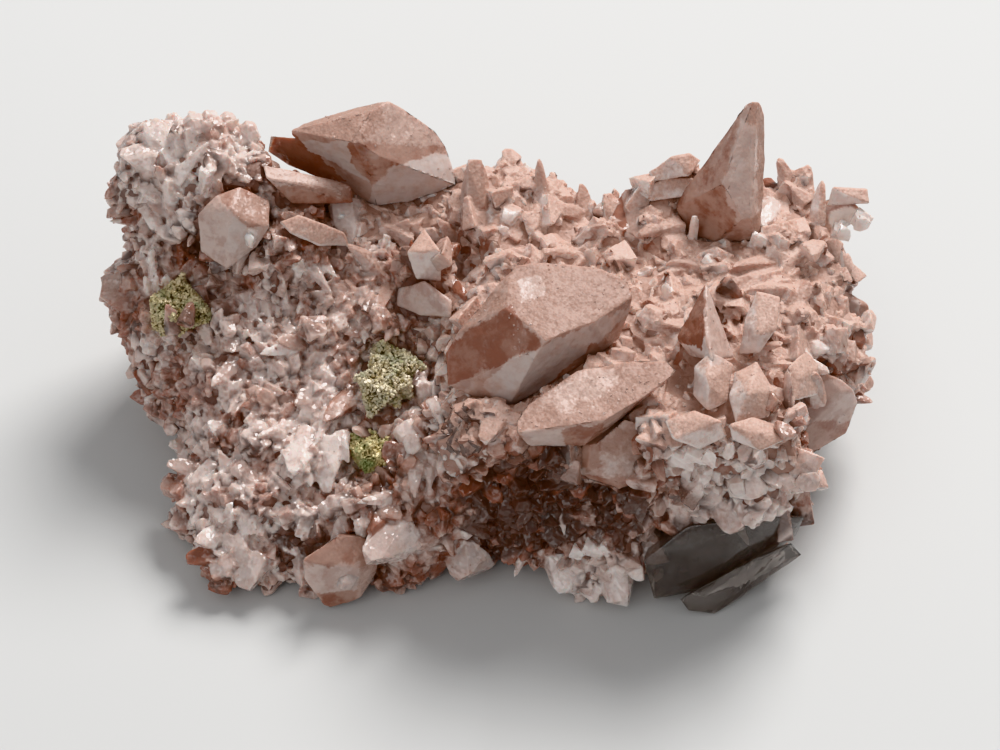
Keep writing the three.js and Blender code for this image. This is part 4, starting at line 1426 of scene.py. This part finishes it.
# How those crystals look from one part to another: an outline in the camera's frame, and the values inside
# it. A later outline covers an earlier one.
TOP = {"dust": 1.0, "tone": 0.75, "stain": 0.2, "smoke": 0.0}
POWDERY = {"dust": 1.0, "tone": 0.2, "stain": 0.1, "smoke": 0.0}
SUGARY = {"dust": 0.7, "tone": 0.45, "stain": 0.05, "smoke": 0.1}
# Iron stain; laid mostly on front-left faces turned from the key lamp, where its darkness is also painted
# shade.
RUST_AND_PAINTED_SHADE = {"dust": 0.3, "tone": 1.0, "stain": 0.7, "smoke": 0.0}
BROWN = {"dust": 0.45, "tone": 0.9, "stain": 0.4, "smoke": 0.0}
GLASSY = {"dust": 0.0, "tone": 0.2, "stain": 0.0, "smoke": 0.45}
# Painted highlight: clean white calcite where a facet shows a bright glint.
PAINTED_HIGHLIGHT = {"dust": 0.0, "tone": 0.0, "stain": 0.0, "smoke": 0.0}
ROSY = {"dust": 0.45, "tone": 0.5, "stain": 0.15, "smoke": 0.1}
AREAS = (
    # back left crystal
    (SUGARY, (378, 98), (402, 100), (470, 148), (437, 146), (362, 141), (384, 118)),
    (GLASSY, (296, 141), (352, 143), (356, 168), (372, 186), (340, 166), (318, 156)),
    (BROWN, (348, 142), (398, 145), (392, 166), (372, 186), (352, 162)),
    (BROWN, (396, 145), (440, 146), (432, 156), (394, 168)),
    (GLASSY, (392, 168), (434, 154), (464, 156), (458, 192), (412, 215), (366, 214), (372, 188)),
    (RUST_AND_PAINTED_SHADE, (446, 132), (474, 150), (462, 158), (442, 146)),
    # stain, and painted shade on a face turned from the key lamp
    (RUST_AND_PAINTED_SHADE, (258, 140), (292, 134), (318, 156), (348, 184), (300, 174), (262, 164)),
    (TOP, (230, 148), (262, 138), (264, 164), (238, 160)),
    (SUGARY, (258, 164), (282, 164), (338, 182), (336, 190), (270, 178)),
    (BROWN, (268, 178), (338, 190), (350, 206), (300, 208)),
    # centre crystal
    # stain, and painted shade on a face turned from the key lamp
    (RUST_AND_PAINTED_SHADE, (509, 304), (542, 345), (505, 362), (444, 388), (438, 352), (470, 330)),
    (GLASSY, (504, 363), (543, 346), (592, 322), (634, 306), (600, 340), (545, 390), (512, 416), (484, 388)),
    (ROSY, (516, 280), (540, 276), (546, 296), (522, 303)),
    # front crystal
    (BROWN, (524, 408), (594, 342), (602, 350), (548, 392)),
    (SUGARY, (560, 384), (592, 362), (618, 376), (600, 400), (560, 410), (540, 404)),
    (ROSY, (520, 432), (600, 424), (602, 434), (580, 458), (526, 450)),
    (BROWN, (560, 430), (604, 424), (600, 440), (570, 452)),
    # round front crystal
    (BROWN, (578, 440), (600, 434), (602, 466), (584, 474)),
    (SUGARY, (602, 460), (622, 456), (636, 466), (630, 476), (606, 474)),
    (BROWN, (580, 476), (640, 478), (664, 462), (640, 496), (600, 494)),
    # spire
    (BROWN, (655, 245), (663, 200), (700, 160), (744, 108), (722, 180), (738, 224), (716, 245)),
    (ROSY, (742, 118), (757, 128), (757, 214), (738, 224), (722, 184)),
    # left shoulder
    (GLASSY, (188, 216), (220, 192), (264, 238), (236, 275), (200, 258)),
    (BROWN, (208, 206), (222, 192), (250, 220), (236, 224)),
    # painted highlight on a facet
    (PAINTED_HIGHLIGHT, (240, 226), (256, 226), (258, 244), (246, 250)),
    # right back
    # painted highlight on a facet
    (PAINTED_HIGHLIGHT, (830, 208), (874, 206), (872, 228), (846, 242), (832, 234)),
    (GLASSY, (834, 238), (872, 230), (866, 266), (838, 262)),
    # right end
    (BROWN, (812, 262), (868, 262), (862, 304), (812, 304)),
    (GLASSY, (800, 306), (860, 300), (850, 350), (806, 346)),
    # right front
    (ROSY, (796, 380), (864, 380), (860, 420), (800, 422)),
    (BROWN, (798, 424), (860, 420), (850, 456), (802, 452)),
    # low left
    (BROWN, (300, 545), (352, 545), (352, 562), (312, 566)),
    (ROSY, (300, 566), (362, 562), (356, 592), (312, 594)),
    (BROWN, (318, 592), (358, 590), (356, 616), (322, 616)),
)

# Crystals of a middling size with a shape of their own: their corners as points of the camera's frame, and
# how far each one stands out there, in millimetres. WEDGE_LIFT is added to all but the last corner, which is
# buried.
WEDGES = (
    (POWDERY, (706, 281, 0.4), (676, 338, -0.4), (690, 356, -0.6), (705, 336, 1.6), (735, 357, 0.2),
     (712, 362, 0.4), (706, 310, -3)),
    (POWDERY, (710, 350, 0.4), (694, 366, 0.5), (692, 396, 0.4), (708, 412, 0.4), (728, 402, 0.5),
     (734, 364, 0.4), (708, 384, 1.2), (714, 380, -3)),
    (POWDERY, (734, 372, 0.6), (757, 360, 0.4), (776, 392, 0.5), (770, 418, 0.3), (735, 425, 0.4),
     (728, 396, 0.6), (750, 392, 1.5), (750, 395, -3)),
    (POWDERY, (756, 290, 0.3), (781, 296, 0.5), (777, 330, 0.6), (760, 353, 0.3), (738, 355, 0.3),
     (744, 320, 0.6), (758, 334, 1.0), (765, 318, -3)),
    (POWDERY, (664, 420, 0.6), (694, 410, 0.8), (722, 420, 1.0), (728, 436, 0.6), (700, 450, 1.2),
     (672, 440, 0.9), (698, 428, -3)),
    (POWDERY, (728, 424, 0.6), (752, 416, 0.8), (778, 424, 0.8), (786, 440, 0.4), (760, 452, 1.2),
     (732, 440, 1.0), (756, 434, -3)),
    (POWDERY, (788, 366, 0.3), (806, 350, 0.6), (822, 366, 0.5), (818, 396, 0.4), (792, 402, 0.6),
     (802, 376, 1.2), (805, 380, -3)),
    (ROSY, (216, 195, 0.3), (240, 186, 0.6), (270, 200, 0.6), (270, 227, 0.5), (257, 248, 0.4),
     (227, 270, 0.3), (200, 252, 0.3), (197, 214, 0.5), (246, 224, 1.8), (230, 210, 1.8),
     (236, 228, -3)),
    (POWDERY, (690, 152, 0.4), (702, 160, 0.4), (690, 176, 0.9), (652, 182, 0.4), (648, 172, 0.2),
     (672, 156, 0.8), (675, 168, -2.5)),
    (POWDERY, (636, 192, 0.3), (668, 176, 0.9), (694, 178, 0.6), (690, 196, 0.6), (650, 202, 0.4),
     (668, 190, -2.5)),
    (POWDERY, (832, 186, 0.3), (868, 188, 0.3), (870, 204, 0.7), (826, 206, 0.5), (848, 196, 1.0),
     (848, 200, -2.5)),
    (POWDERY, (278, 222, 0.3), (298, 214, 0.7), (345, 232, 0.8), (350, 246, 0.4), (318, 246, 0.5),
     (290, 234, 0.7), (320, 235, -2.5)),
    (ROSY, (398, 288, 0.3), (424, 280, 0.8), (452, 300, 0.8), (452, 318, 0.4), (420, 316, 0.8),
     (396, 306, 0.4), (425, 300, -2.5)),
    (BROWN, (262, 164, 0.4), (336, 180, 0.5), (352, 186, 0.2), (354, 203, 0.2), (292, 204, 0.3),
     (266, 178, 1.4), (338, 190, 1.4), (312, 204, -3)),
    (POWDERY, (406, 252, 0.4), (424, 228, 0.8), (440, 250, 1.0), (442, 282, 0.4), (416, 280, 0.5),
     (425, 260, -2.5)),
)
WEDGE_LIFT = 1.0

# How far the corners may follow the surface towards the camera or away from it, and how wide the worn edges
# are, in millimetres.
WEDGE_REACH = 2.0
WEDGE_EDGE = 0.14

# How the wedges look from one part to another.
WEDGE_AREAS = (
    (SUGARY, (258, 160), (344, 178), (342, 191), (264, 179)),
    # stain, and painted shade on a face turned from the key lamp
    (RUST_AND_PAINTED_SHADE, (672, 342), (706, 278), (704, 336), (700, 348)),
    (ROSY, (706, 278), (740, 360), (712, 366), (704, 338)),
    (BROWN, (216, 193), (240, 182), (274, 198), (274, 226), (246, 226), (230, 210)),
    (GLASSY, (234, 216), (246, 226), (262, 236), (240, 262), (222, 250)),
    # painted highlight on a facet
    (PAINTED_HIGHLIGHT, (248, 228), (258, 230), (256, 244), (246, 242)),
    (GLASSY, (396, 306), (452, 318), (450, 328), (396, 326)),
)


def point_inside(x, y, outline):
    """Whether a point lies inside an outline."""
    within = False
    for (x1, y1), (x2, y2) in zip(outline, outline[1:] + outline[:1]):
        if (y1 > y) != (y2 > y) and x < x1 + (x2 - x1) * (y - y1) / (y2 - y1):
            within = not within
    return within


def shaded(bm, areas):
    """Gives the vertices inside each outline its values."""
    layers = {name: bm.verts.layers.float[name] for name in TOP}
    dice = random.Random(3)
    noise.seed_set(3)
    boxes = [[edge(at[k] for at in outline) for edge in (min, max) for k in (0, 1)] for _, *outline in areas]
    for vert in bm.verts:
        x, y = frame_point(vert.co)
        drift = noise.noise_vector(vert.co / (1.4 * MM))
        for (values, *outline), (left, top, right, bottom) in zip(areas, boxes):
            soft, spread = (9, 0.4) if values == SUGARY else (4, 0)
            px = x + soft * (drift.x + dice.uniform(-spread, spread))
            py = y + soft * (drift.y + dice.uniform(-spread, spread))
            if left < px < right and top < py < bottom and point_inside(px, py, outline):
                for name, value in values.items():
                    vert[layers[name]] = value


def faceted(bm, facets):
    """Cuts the flat growth faces into a packed crystal."""
    surface = BVHTree.FromBMesh(bm)
    middle = sum((vert.co for vert in bm.verts), Vector()) / len(bm.verts)
    for points in facets:
        places = [seen_at(surface, point[:2], middle) - TO_CAMERA * point[2] * MM for point in points]
        normal = (places[1] - places[0]).cross(places[2] - places[0]).normalized()
        if normal.dot(TO_CAMERA) < 0:
            normal = -normal
        edges = cut_open(bm, places[0], normal)
        if edges:
            bmesh.ops.holes_fill(bm, edges=edges, sides=0)


def wedge_hulls():
    """Each middling crystal with a shape of its own: its values and its sharp hull."""
    surface = packed_surface()
    for values, *corners in WEDGES:
        part = new_mesh()
        middle = seen_at(surface, corners[-1][:2], otherwise=Vector((0, 0, 0.02)))
        for x, y, lift in corners:
            raised = lift if (x, y, lift) == corners[-1] else lift + WEDGE_LIFT
            place = seen_at(surface, (x, y), middle)
            offset = max(-WEDGE_REACH * MM, min((place - middle).dot(TO_CAMERA), WEDGE_REACH * MM))
            level = middle + TO_CAMERA * (offset + raised * MM)
            part.verts.new(on_sight_line((x, y), level))
        bmesh.ops.convex_hull(part, input=part.verts)
        loose = [vert for vert in part.verts if not vert.link_faces]
        bmesh.ops.delete(part, geom=loose, context="VERTS")
        yield values, part


def wedges():
    """The middling crystals that have a shape of their own, in one mesh."""
    bm = new_mesh()
    for values, part in wedge_hulls():
        bmesh.ops.dissolve_limit(part, angle_limit=math.radians(2), verts=part.verts, edges=part.edges)
        bevelled(part, WEDGE_EDGE * MM)
        marked(part, rise=1.0, **values)
        joined(bm, part)
    return bm


# ------------------------------------------------------------------------------------------ operators


class SPECIMEN_OT_matrix(bpy.types.Operator):
    """Lays the matrix that carries all the crystals"""

    bl_idname = "specimen.matrix"
    bl_label = "Matrix"

    def execute(self, context):
        bm = matrix_mesh()
        refined(bm, longest=1.2 * MM)
        roughened(bm, height=0.35 * MM, size=1.3 * MM, seed=2)
        for vert in bm.verts:
            vert.co.z = max(vert.co.z, 0.0)
        kept_in_box(bm)
        # Painted shade: the rise of 0.45 darkens the matrix between the crystals, and 0.7 on the blades
        # darkens it less.
        marked(bm, tone=0.7, stain=0.7, dust=0.4, rise=0.45)
        bm.normal_update()
        dust, rise = (bm.verts.layers.float[name] for name in ("dust", "rise"))
        for vert in bm.verts:
            if kind_at(vert.co, vert.normal) == "blades":
                vert[dust] = 1.0
                vert[rise] = 0.7
        piece_from(bm, "matrix", [calcite("matrix calcite", clean=0.4)], "calcite_crust", "calcite_crust")
        return {"FINISHED"}


class SPECIMEN_OT_large_crystals(bpy.types.Operator):
    """Finishes the large crystals that stand in the crust"""

    bl_idname = "specimen.large_crystals"
    bl_label = "Large crystals"

    def execute(self, context):
        sizes = context.scene.specimen_crystals
        ground = matrix_mesh()
        below = BVHTree.FromBMesh(ground)
        ground.free()
        dusted = calcite("dusted crystal", clean=0.26, subsurface=0.3, sparkle=0.3, wear=0.15)
        clean = calcite("clean crystal", clean=0.09, subsurface=0.35, sparkle=0.1, wear=0.15)
        for seed, name in enumerate(LARGE_CRYSTALS):
            bm = solid_of(name)
            faceted(bm, FACETS[name])
            bmesh.ops.dissolve_limit(bm, angle_limit=math.radians(2), verts=bm.verts, edges=bm.edges)
            bevelled(bm, sizes.edge_rounding, segments=2)
            refined(bm, sizes.grain_edge)
            marked(bm, **TOP)
            shaded(bm, AREAS)
            roughened(bm, height=0.14 * MM, size=2.6 * MM, seed=seed, terraces=0.12)
            roughened(bm, height=0.05 * MM, size=0.6 * MM, seed=seed + 20)
            kept_in_box(bm)
            bm.normal_update()
            # Painted shade: faces near the matrix get a low rise, so the finish darkens them towards the
            # crevice colour.
            rise = bm.verts.layers.float["rise"]
            for vert in bm.verts:
                distance = below.find_nearest(vert.co)[3]
                vert[rise] = min(0.5 + distance / (3 * MM), 1.0)
            dust = bm.verts.layers.float["dust"]
            smoothed(bm)
            for face in bm.faces:
                powdered = face.normal.dot(DUST_DIRECTION) > 0.2 and face.verts[0][dust] > 0.5
                face.material_index = 0 if powdered else 1
            piece_from(bm, name.replace("_crystal", "_prism"), [dusted, clean], "stained_calcite", name)
        bm = wedges()
        refined(bm, longest=0.4 * MM)
        shaded(bm, WEDGE_AREAS)
        roughened(bm, height=0.1 * MM, size=2.0 * MM, seed=5, terraces=0.12)
        roughened(bm, height=0.04 * MM, size=0.5 * MM, seed=6)
        kept_in_box(bm)
        smoothed(bm)
        piece_from(bm, "wedges", [dusted], "calcite_crust")
        return {"FINISHED"}


class SPECIMEN_OT_clear_crystals(bpy.types.Operator):
    """Finishes the see-through crystals low on the right"""

    bl_idname = "specimen.clear_crystals"
    bl_label = "Clear crystals"

    def execute(self, context):
        sizes = context.scene.specimen_crystals
        for seed, name in enumerate(CLEAR_CRYSTALS):
            bm = solid_of(name)
            bmesh.ops.dissolve_limit(bm, angle_limit=math.radians(2), verts=bm.verts, edges=bm.edges)
            bevelled(bm, sizes.edge_rounding, segments=2)
            refined(bm, longest=0.9 * MM)
            roughened(bm, height=0.12 * MM, size=3.0 * MM, seed=seed + 40, terraces=0.15)
            kept_in_box(bm)
            smoothed(bm)
            piece_from(bm, name.replace("_crystal", "_glass"), [clear_calcite()], "clear_calcite", name)
        return {"FINISHED"}


def wedge_planes():
    """Face planes of each wedge."""
    planes = []
    for _, part in wedge_hulls():
        planes.append(face_planes(part))
        part.free()
    return planes


def out_of_place(found, covered):
    """Which small crystals would stand in a larger one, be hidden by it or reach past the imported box."""
    feet = np.array([tuple(place) for _, place, _, _, _, _ in found])
    tips = np.array([tuple(place + axis * tall * 0.8) for _, place, axis, _, _, tall in found])
    hulls = large_hulls()
    hidden = inside(feet, hulls, 0.3 * MM) | inside(tips, hulls, -0.1 * MM)
    hidden |= inside(tips, covered, -0.5 * MM)
    least, most = (np.array(corner) for corner in CAD_BOX)
    outside = (tips < least + EDGE_ROOM * MM) | (tips > most - EDGE_ROOM * MM)
    return hidden | outside.any(axis=1)


def plant_small(meshes, kinds, shapes, crystal, dice):
    """Adds a small crystal to the mesh of its growth."""
    name, place, axis, face, width, tall = crystal
    kind = kinds[name]
    size = (width, width * dice.uniform(*kind.flat), tall + ROOT_SHARE * width)
    shape = dice.choice(shapes[dice.choice(kind.habits)])
    drift = 0.5 + 0.8 * noise.noise(place / (4 * MM))
    values = {}
    for part in ("tone", "stain", "dust"):
        low, high = getattr(kind, part)
        values[part] = low + (high - low) * min(max(drift + dice.uniform(-0.35, 0.35), 0), 1)
    foot = place - axis * ROOT_SHARE * width
    plant(meshes[name], shape, foot, axis, face, size, **tinted(place, values))


def plant_chosen(skin, shape, foot, tip, wide, thick, side, values):
    """Adds a chosen crystal, which reaches some way below its foot."""
    start = foot - (tip - foot) * 0.3 - TO_CAMERA * 0.4 * MM
    axis = tip - start
    plant(skin, shape, start, axis, side, (wide, thick, axis.length), **values)


def plant_bright(skin, shape, foot, tip, wide, thick, values, dice):
    """Adds a stretch of bright faces, which look nearly the same way."""
    axis = tip - foot
    for _ in range(math.ceil(2 * axis.length / wide)):
        face = (GLINT + Vector([dice.gauss(0, BRIGHT_SPREAD) for _ in range(3)])).normalized()
        along = (axis - face * axis.dot(face)).normalized()
        size = wide * dice.uniform(0.5, 1.0)
        spot = foot.lerp(tip, dice.uniform(0.1, 0.9)) + along.cross(face) * wide * dice.gauss(0, 0.3)
        back = BRIGHT_DEPTH * MM / 2 - thick * dice.uniform(0.4, 1.2)
        start = spot - along * size / 2 - face * back
        plant(skin, shape, start, along, face, (size, BRIGHT_DEPTH * MM, size * 1.2), **values)


class SPECIMEN_OT_druse(bpy.types.Operator):
    """Covers the matrix with the crystals that are placed one by one and with thousands of small ones"""

    bl_idname = "specimen.druse"
    bl_label = "Small crystals"

    def execute(self, context):
        sizes = context.scene.specimen_crystals
        dice = random.Random(11)
        ground = matrix_mesh()
        kinds = growths()
        found = list(sown(ground, kinds, seed=4))
        joined(ground, solid_of(*LARGE_CRYSTALS, *CLEAR_CRYSTALS, *ORE_PATCHES))
        carriers = BVHTree.FromBMesh(ground)
        ground.free()
        covered = wedge_planes()
        shapes = {habit: [crystal_shape(habit, seed) for seed in range(8)] for habit in HABITS}
        meshes = {name: new_mesh() for name in kinds}
        for crystal, skipped in zip(found, out_of_place(found, covered)):
            if not skipped:
                plant_small(meshes, kinds, shapes, crystal, dice)
        for look, habit, foot, tip, *sizing in chosen_rows():
            if inside(np.array([tuple(tip)]), covered, 0).any():
                continue
            values = {name: dice.uniform(*limits) for name, limits in LOOKS[look].items()}
            shape = dice.choice(shapes[habit])
            skin = meshes[kind_at(foot, TO_CAMERA, dice)]
            if look == "glint":
                plant_bright(skin, shape, foot, tip, *sizing[:2], values, dice)
            else:
                plant_chosen(skin, shape, foot, tip, *sizing, values)
        finishes = {
            "fine": calcite("fine calcite", clean=0.05, subsurface=0.6, sparkle=0.5),
            "blades": calcite("bladed calcite", clean=0.1, subsurface=0.4, sparkle=0.3),
            "low": calcite("low calcite", clean=0.05, subsurface=0.5, sparkle=0.5),
        }
        for name, bm in meshes.items():
            skin = fused(bm, sizes.skin_grid, MOST_FACES)
            without_strays(skin, carriers)
            carried(skin, bm)
            lightened(skin, carriers)
            bm.free()
            for face in skin.faces:
                face.smooth = False
            kept_in_box(skin)
            piece_from(skin, f"{name}_druse", [finishes[name]], "calcite_crust")
        return {"FINISHED"}


class SPECIMEN_OT_sugar(bpy.types.Operator):
    """Scatters the finest crystals, which sparkle, over the crust and the large crystals"""

    bl_idname = "specimen.sugar"
    bl_label = "Finest crystals"

    def execute(self, context):
        dice = random.Random(17)
        shapes = [crystal_shape("rhomb", seed) for seed in range(2)]
        bm = new_mesh()
        for host, tries in SUGAR.items():
            skin = bmesh.new()
            skin.from_mesh(bpy.data.objects[host].data)
            for place, normal in scattered(skin, tries, seed=3):
                if normal.dot(DUST_DIRECTION) < 0.35 or noise.noise(place / (3 * MM)) < 0:
                    continue
                width = dice.uniform(0.14, 0.34) * MM
                axis = Vector([dice.gauss(0, 1) for _ in range(3)])
                face = Vector([dice.gauss(0, 1) for _ in range(3)])
                values = {"tone": dice.uniform(0.3, 0.8), "rise": 1.0, "dust": dice.uniform(0.5, 1)}
                foot = place - axis.normalized() * width * 0.5 - normal * width * 0.1
                plant(bm, dice.choice(shapes), foot, axis, face, (width, width, width), **values)
            skin.free()
        kept_in_box(bm)
        piece_from(bm, "sugar", [calcite("sugar calcite", clean=0.07, sparkle=0.0)], "calcite_crust")
        return {"FINISHED"}


class SPECIMEN_OT_chalcopyrite(bpy.types.Operator):
    """Builds the grainy patches of chalcopyrite"""

    bl_idname = "specimen.chalcopyrite"
    bl_label = "Chalcopyrite"

    def execute(self, context):
        shapes = [crystal_shape("block", seed) for seed in range(8, 14)]
        for seed, (name, (dusty, grey)) in enumerate(ORE_PATCHES.items()):
            dice = random.Random(seed)
            core = solid_of(name)
            near = Neighbours(1.0 * MM)
            bm = new_mesh()
            for place, normal in scattered(core, ORE_TRIES, seed):
                tall = dice.uniform(0.25, 0.6) * MM
                if not near.clear_of(place, tall * ORE_APART):
                    continue
                near.add(place, tall * ORE_APART)
                lean = Vector([dice.gauss(0, 0.5) for _ in range(3)])
                axis = (normal + lean).normalized()
                size = (tall * dice.uniform(0.7, 1.2), tall * dice.uniform(0.6, 1), tall)
                plant(
                    bm, dice.choice(shapes), place - axis * tall * 0.5, axis, lean.normalized(), size,
                    tone=dice.random(), dust=dusty * dice.random(), smoke=grey * dice.random() ** 0.5,
                )
            core.free()
            kept_in_box(bm)
            piece_from(bm, name.replace("chalcopyrite", "ore"), [chalcopyrite()], "chalcopyrite", name)
        return {"FINISHED"}


def softbox(name, direction, distance, side, power):
    """A round lamp that lies a way off the specimen and shines at its middle."""
    lamp = bpy.data.lights.new(name, "AREA")
    lamp.shape = "DISK"
    lamp.size = side
    lamp.energy = power
    made = bpy.data.objects.new(name, lamp)
    made.location = direction.normalized() * distance + Vector((0, 0, 15 * MM))
    made.rotation_mode = "QUATERNION"
    made.rotation_quaternion = direction.to_track_quat("Z", "Y")
    bpy.context.scene.collection.objects.link(made)


class SPECIMEN_OT_stage(bpy.types.Operator):
    """Sets up the floor, lamps and camera"""

    bl_idname = "specimen.stage"
    bl_label = "Stage"

    def execute(self, context):
        scene = context.scene
        bm = bmesh.new()
        bmesh.ops.create_grid(bm, x_segments=1, y_segments=1, size=3.0)
        mesh = bpy.data.meshes.new("floor")
        bm.to_mesh(mesh)
        bm.free()
        material, tree, shader = empty_material("floor")
        feed(tree, shader.inputs["Base Color"], scene.specimen_colours.floor)
        shader.inputs["Roughness"].default_value = 0.8
        mesh.materials.append(material)
        floor = bpy.data.objects.new("floor", mesh)
        scene.collection.objects.link(floor)
        softbox("key", KEY_DIRECTION, distance=0.8, side=0.4, power=7.8)
        softbox("fill", Vector((-0.5, -0.8, 0.9)), distance=1.0, side=0.9, power=2.2)
        world = bpy.data.worlds.new("studio")
        world.use_nodes = True
        sky = world.node_tree.nodes["Background"]
        sky.inputs["Color"].default_value = (0.9, 0.92, 0.95, 1)
        sky.inputs["Strength"].default_value = 0.42
        scene.world = world
        scene.view_settings.view_transform = "Khronos PBR Neutral"

        view = bpy.data.cameras.new("camera")
        view.lens = LENS
        view.sensor_width = SENSOR
        view.clip_start = 0.01
        camera = bpy.data.objects.new("camera", view)
        camera.location = CAMERA_PLACE
        camera.rotation_euler = (math.pi / 2 - CAMERA_DIP, 0, 0)
        scene.collection.objects.link(camera)
        scene.camera = camera
        return {"FINISHED"}


class SPECIMEN_PT_panel(bpy.types.Panel):
    """Sidebar panel that lists the specimen's settings and pieces"""

    bl_idname = "SPECIMEN_PT_panel"
    bl_label = "Calcite specimen"
    bl_space_type = "VIEW_3D"
    bl_region_type = "UI"
    bl_category = "Specimen"

    def draw(self, context):
        layout = self.layout
        for settings in (context.scene.specimen_crystals, context.scene.specimen_colours):
            for name in settings.__annotations__:
                layout.prop(settings, name)
        for operator in OPERATORS:
            layout.operator(operator.bl_idname)


OPERATORS = (
    SPECIMEN_OT_matrix,
    SPECIMEN_OT_large_crystals,
    SPECIMEN_OT_clear_crystals,
    SPECIMEN_OT_druse,
    SPECIMEN_OT_sugar,
    SPECIMEN_OT_chalcopyrite,
    SPECIMEN_OT_stage,
)
CLASSES = (CrystalSettings, ColourSettings, *OPERATORS, SPECIMEN_PT_panel)


def register():
    for item in CLASSES:
        bpy.utils.register_class(item)
    bpy.types.Scene.specimen_crystals = PointerProperty(type=CrystalSettings)
    bpy.types.Scene.specimen_colours = PointerProperty(type=ColourSettings)


def unregister():
    del bpy.types.Scene.specimen_colours
    del bpy.types.Scene.specimen_crystals
    for item in reversed(CLASSES):
        bpy.utils.unregister_class(item)


def main():
    """Builds the whole specimen and its stage."""
    register()
    bpy.ops.specimen.matrix()
    bpy.ops.specimen.large_crystals()
    bpy.ops.specimen.clear_crystals()
    bpy.ops.specimen.druse()
    bpy.ops.specimen.sugar()
    bpy.ops.specimen.chalcopyrite()
    bpy.ops.specimen.stage()


if __name__ == "__main__":
    main()
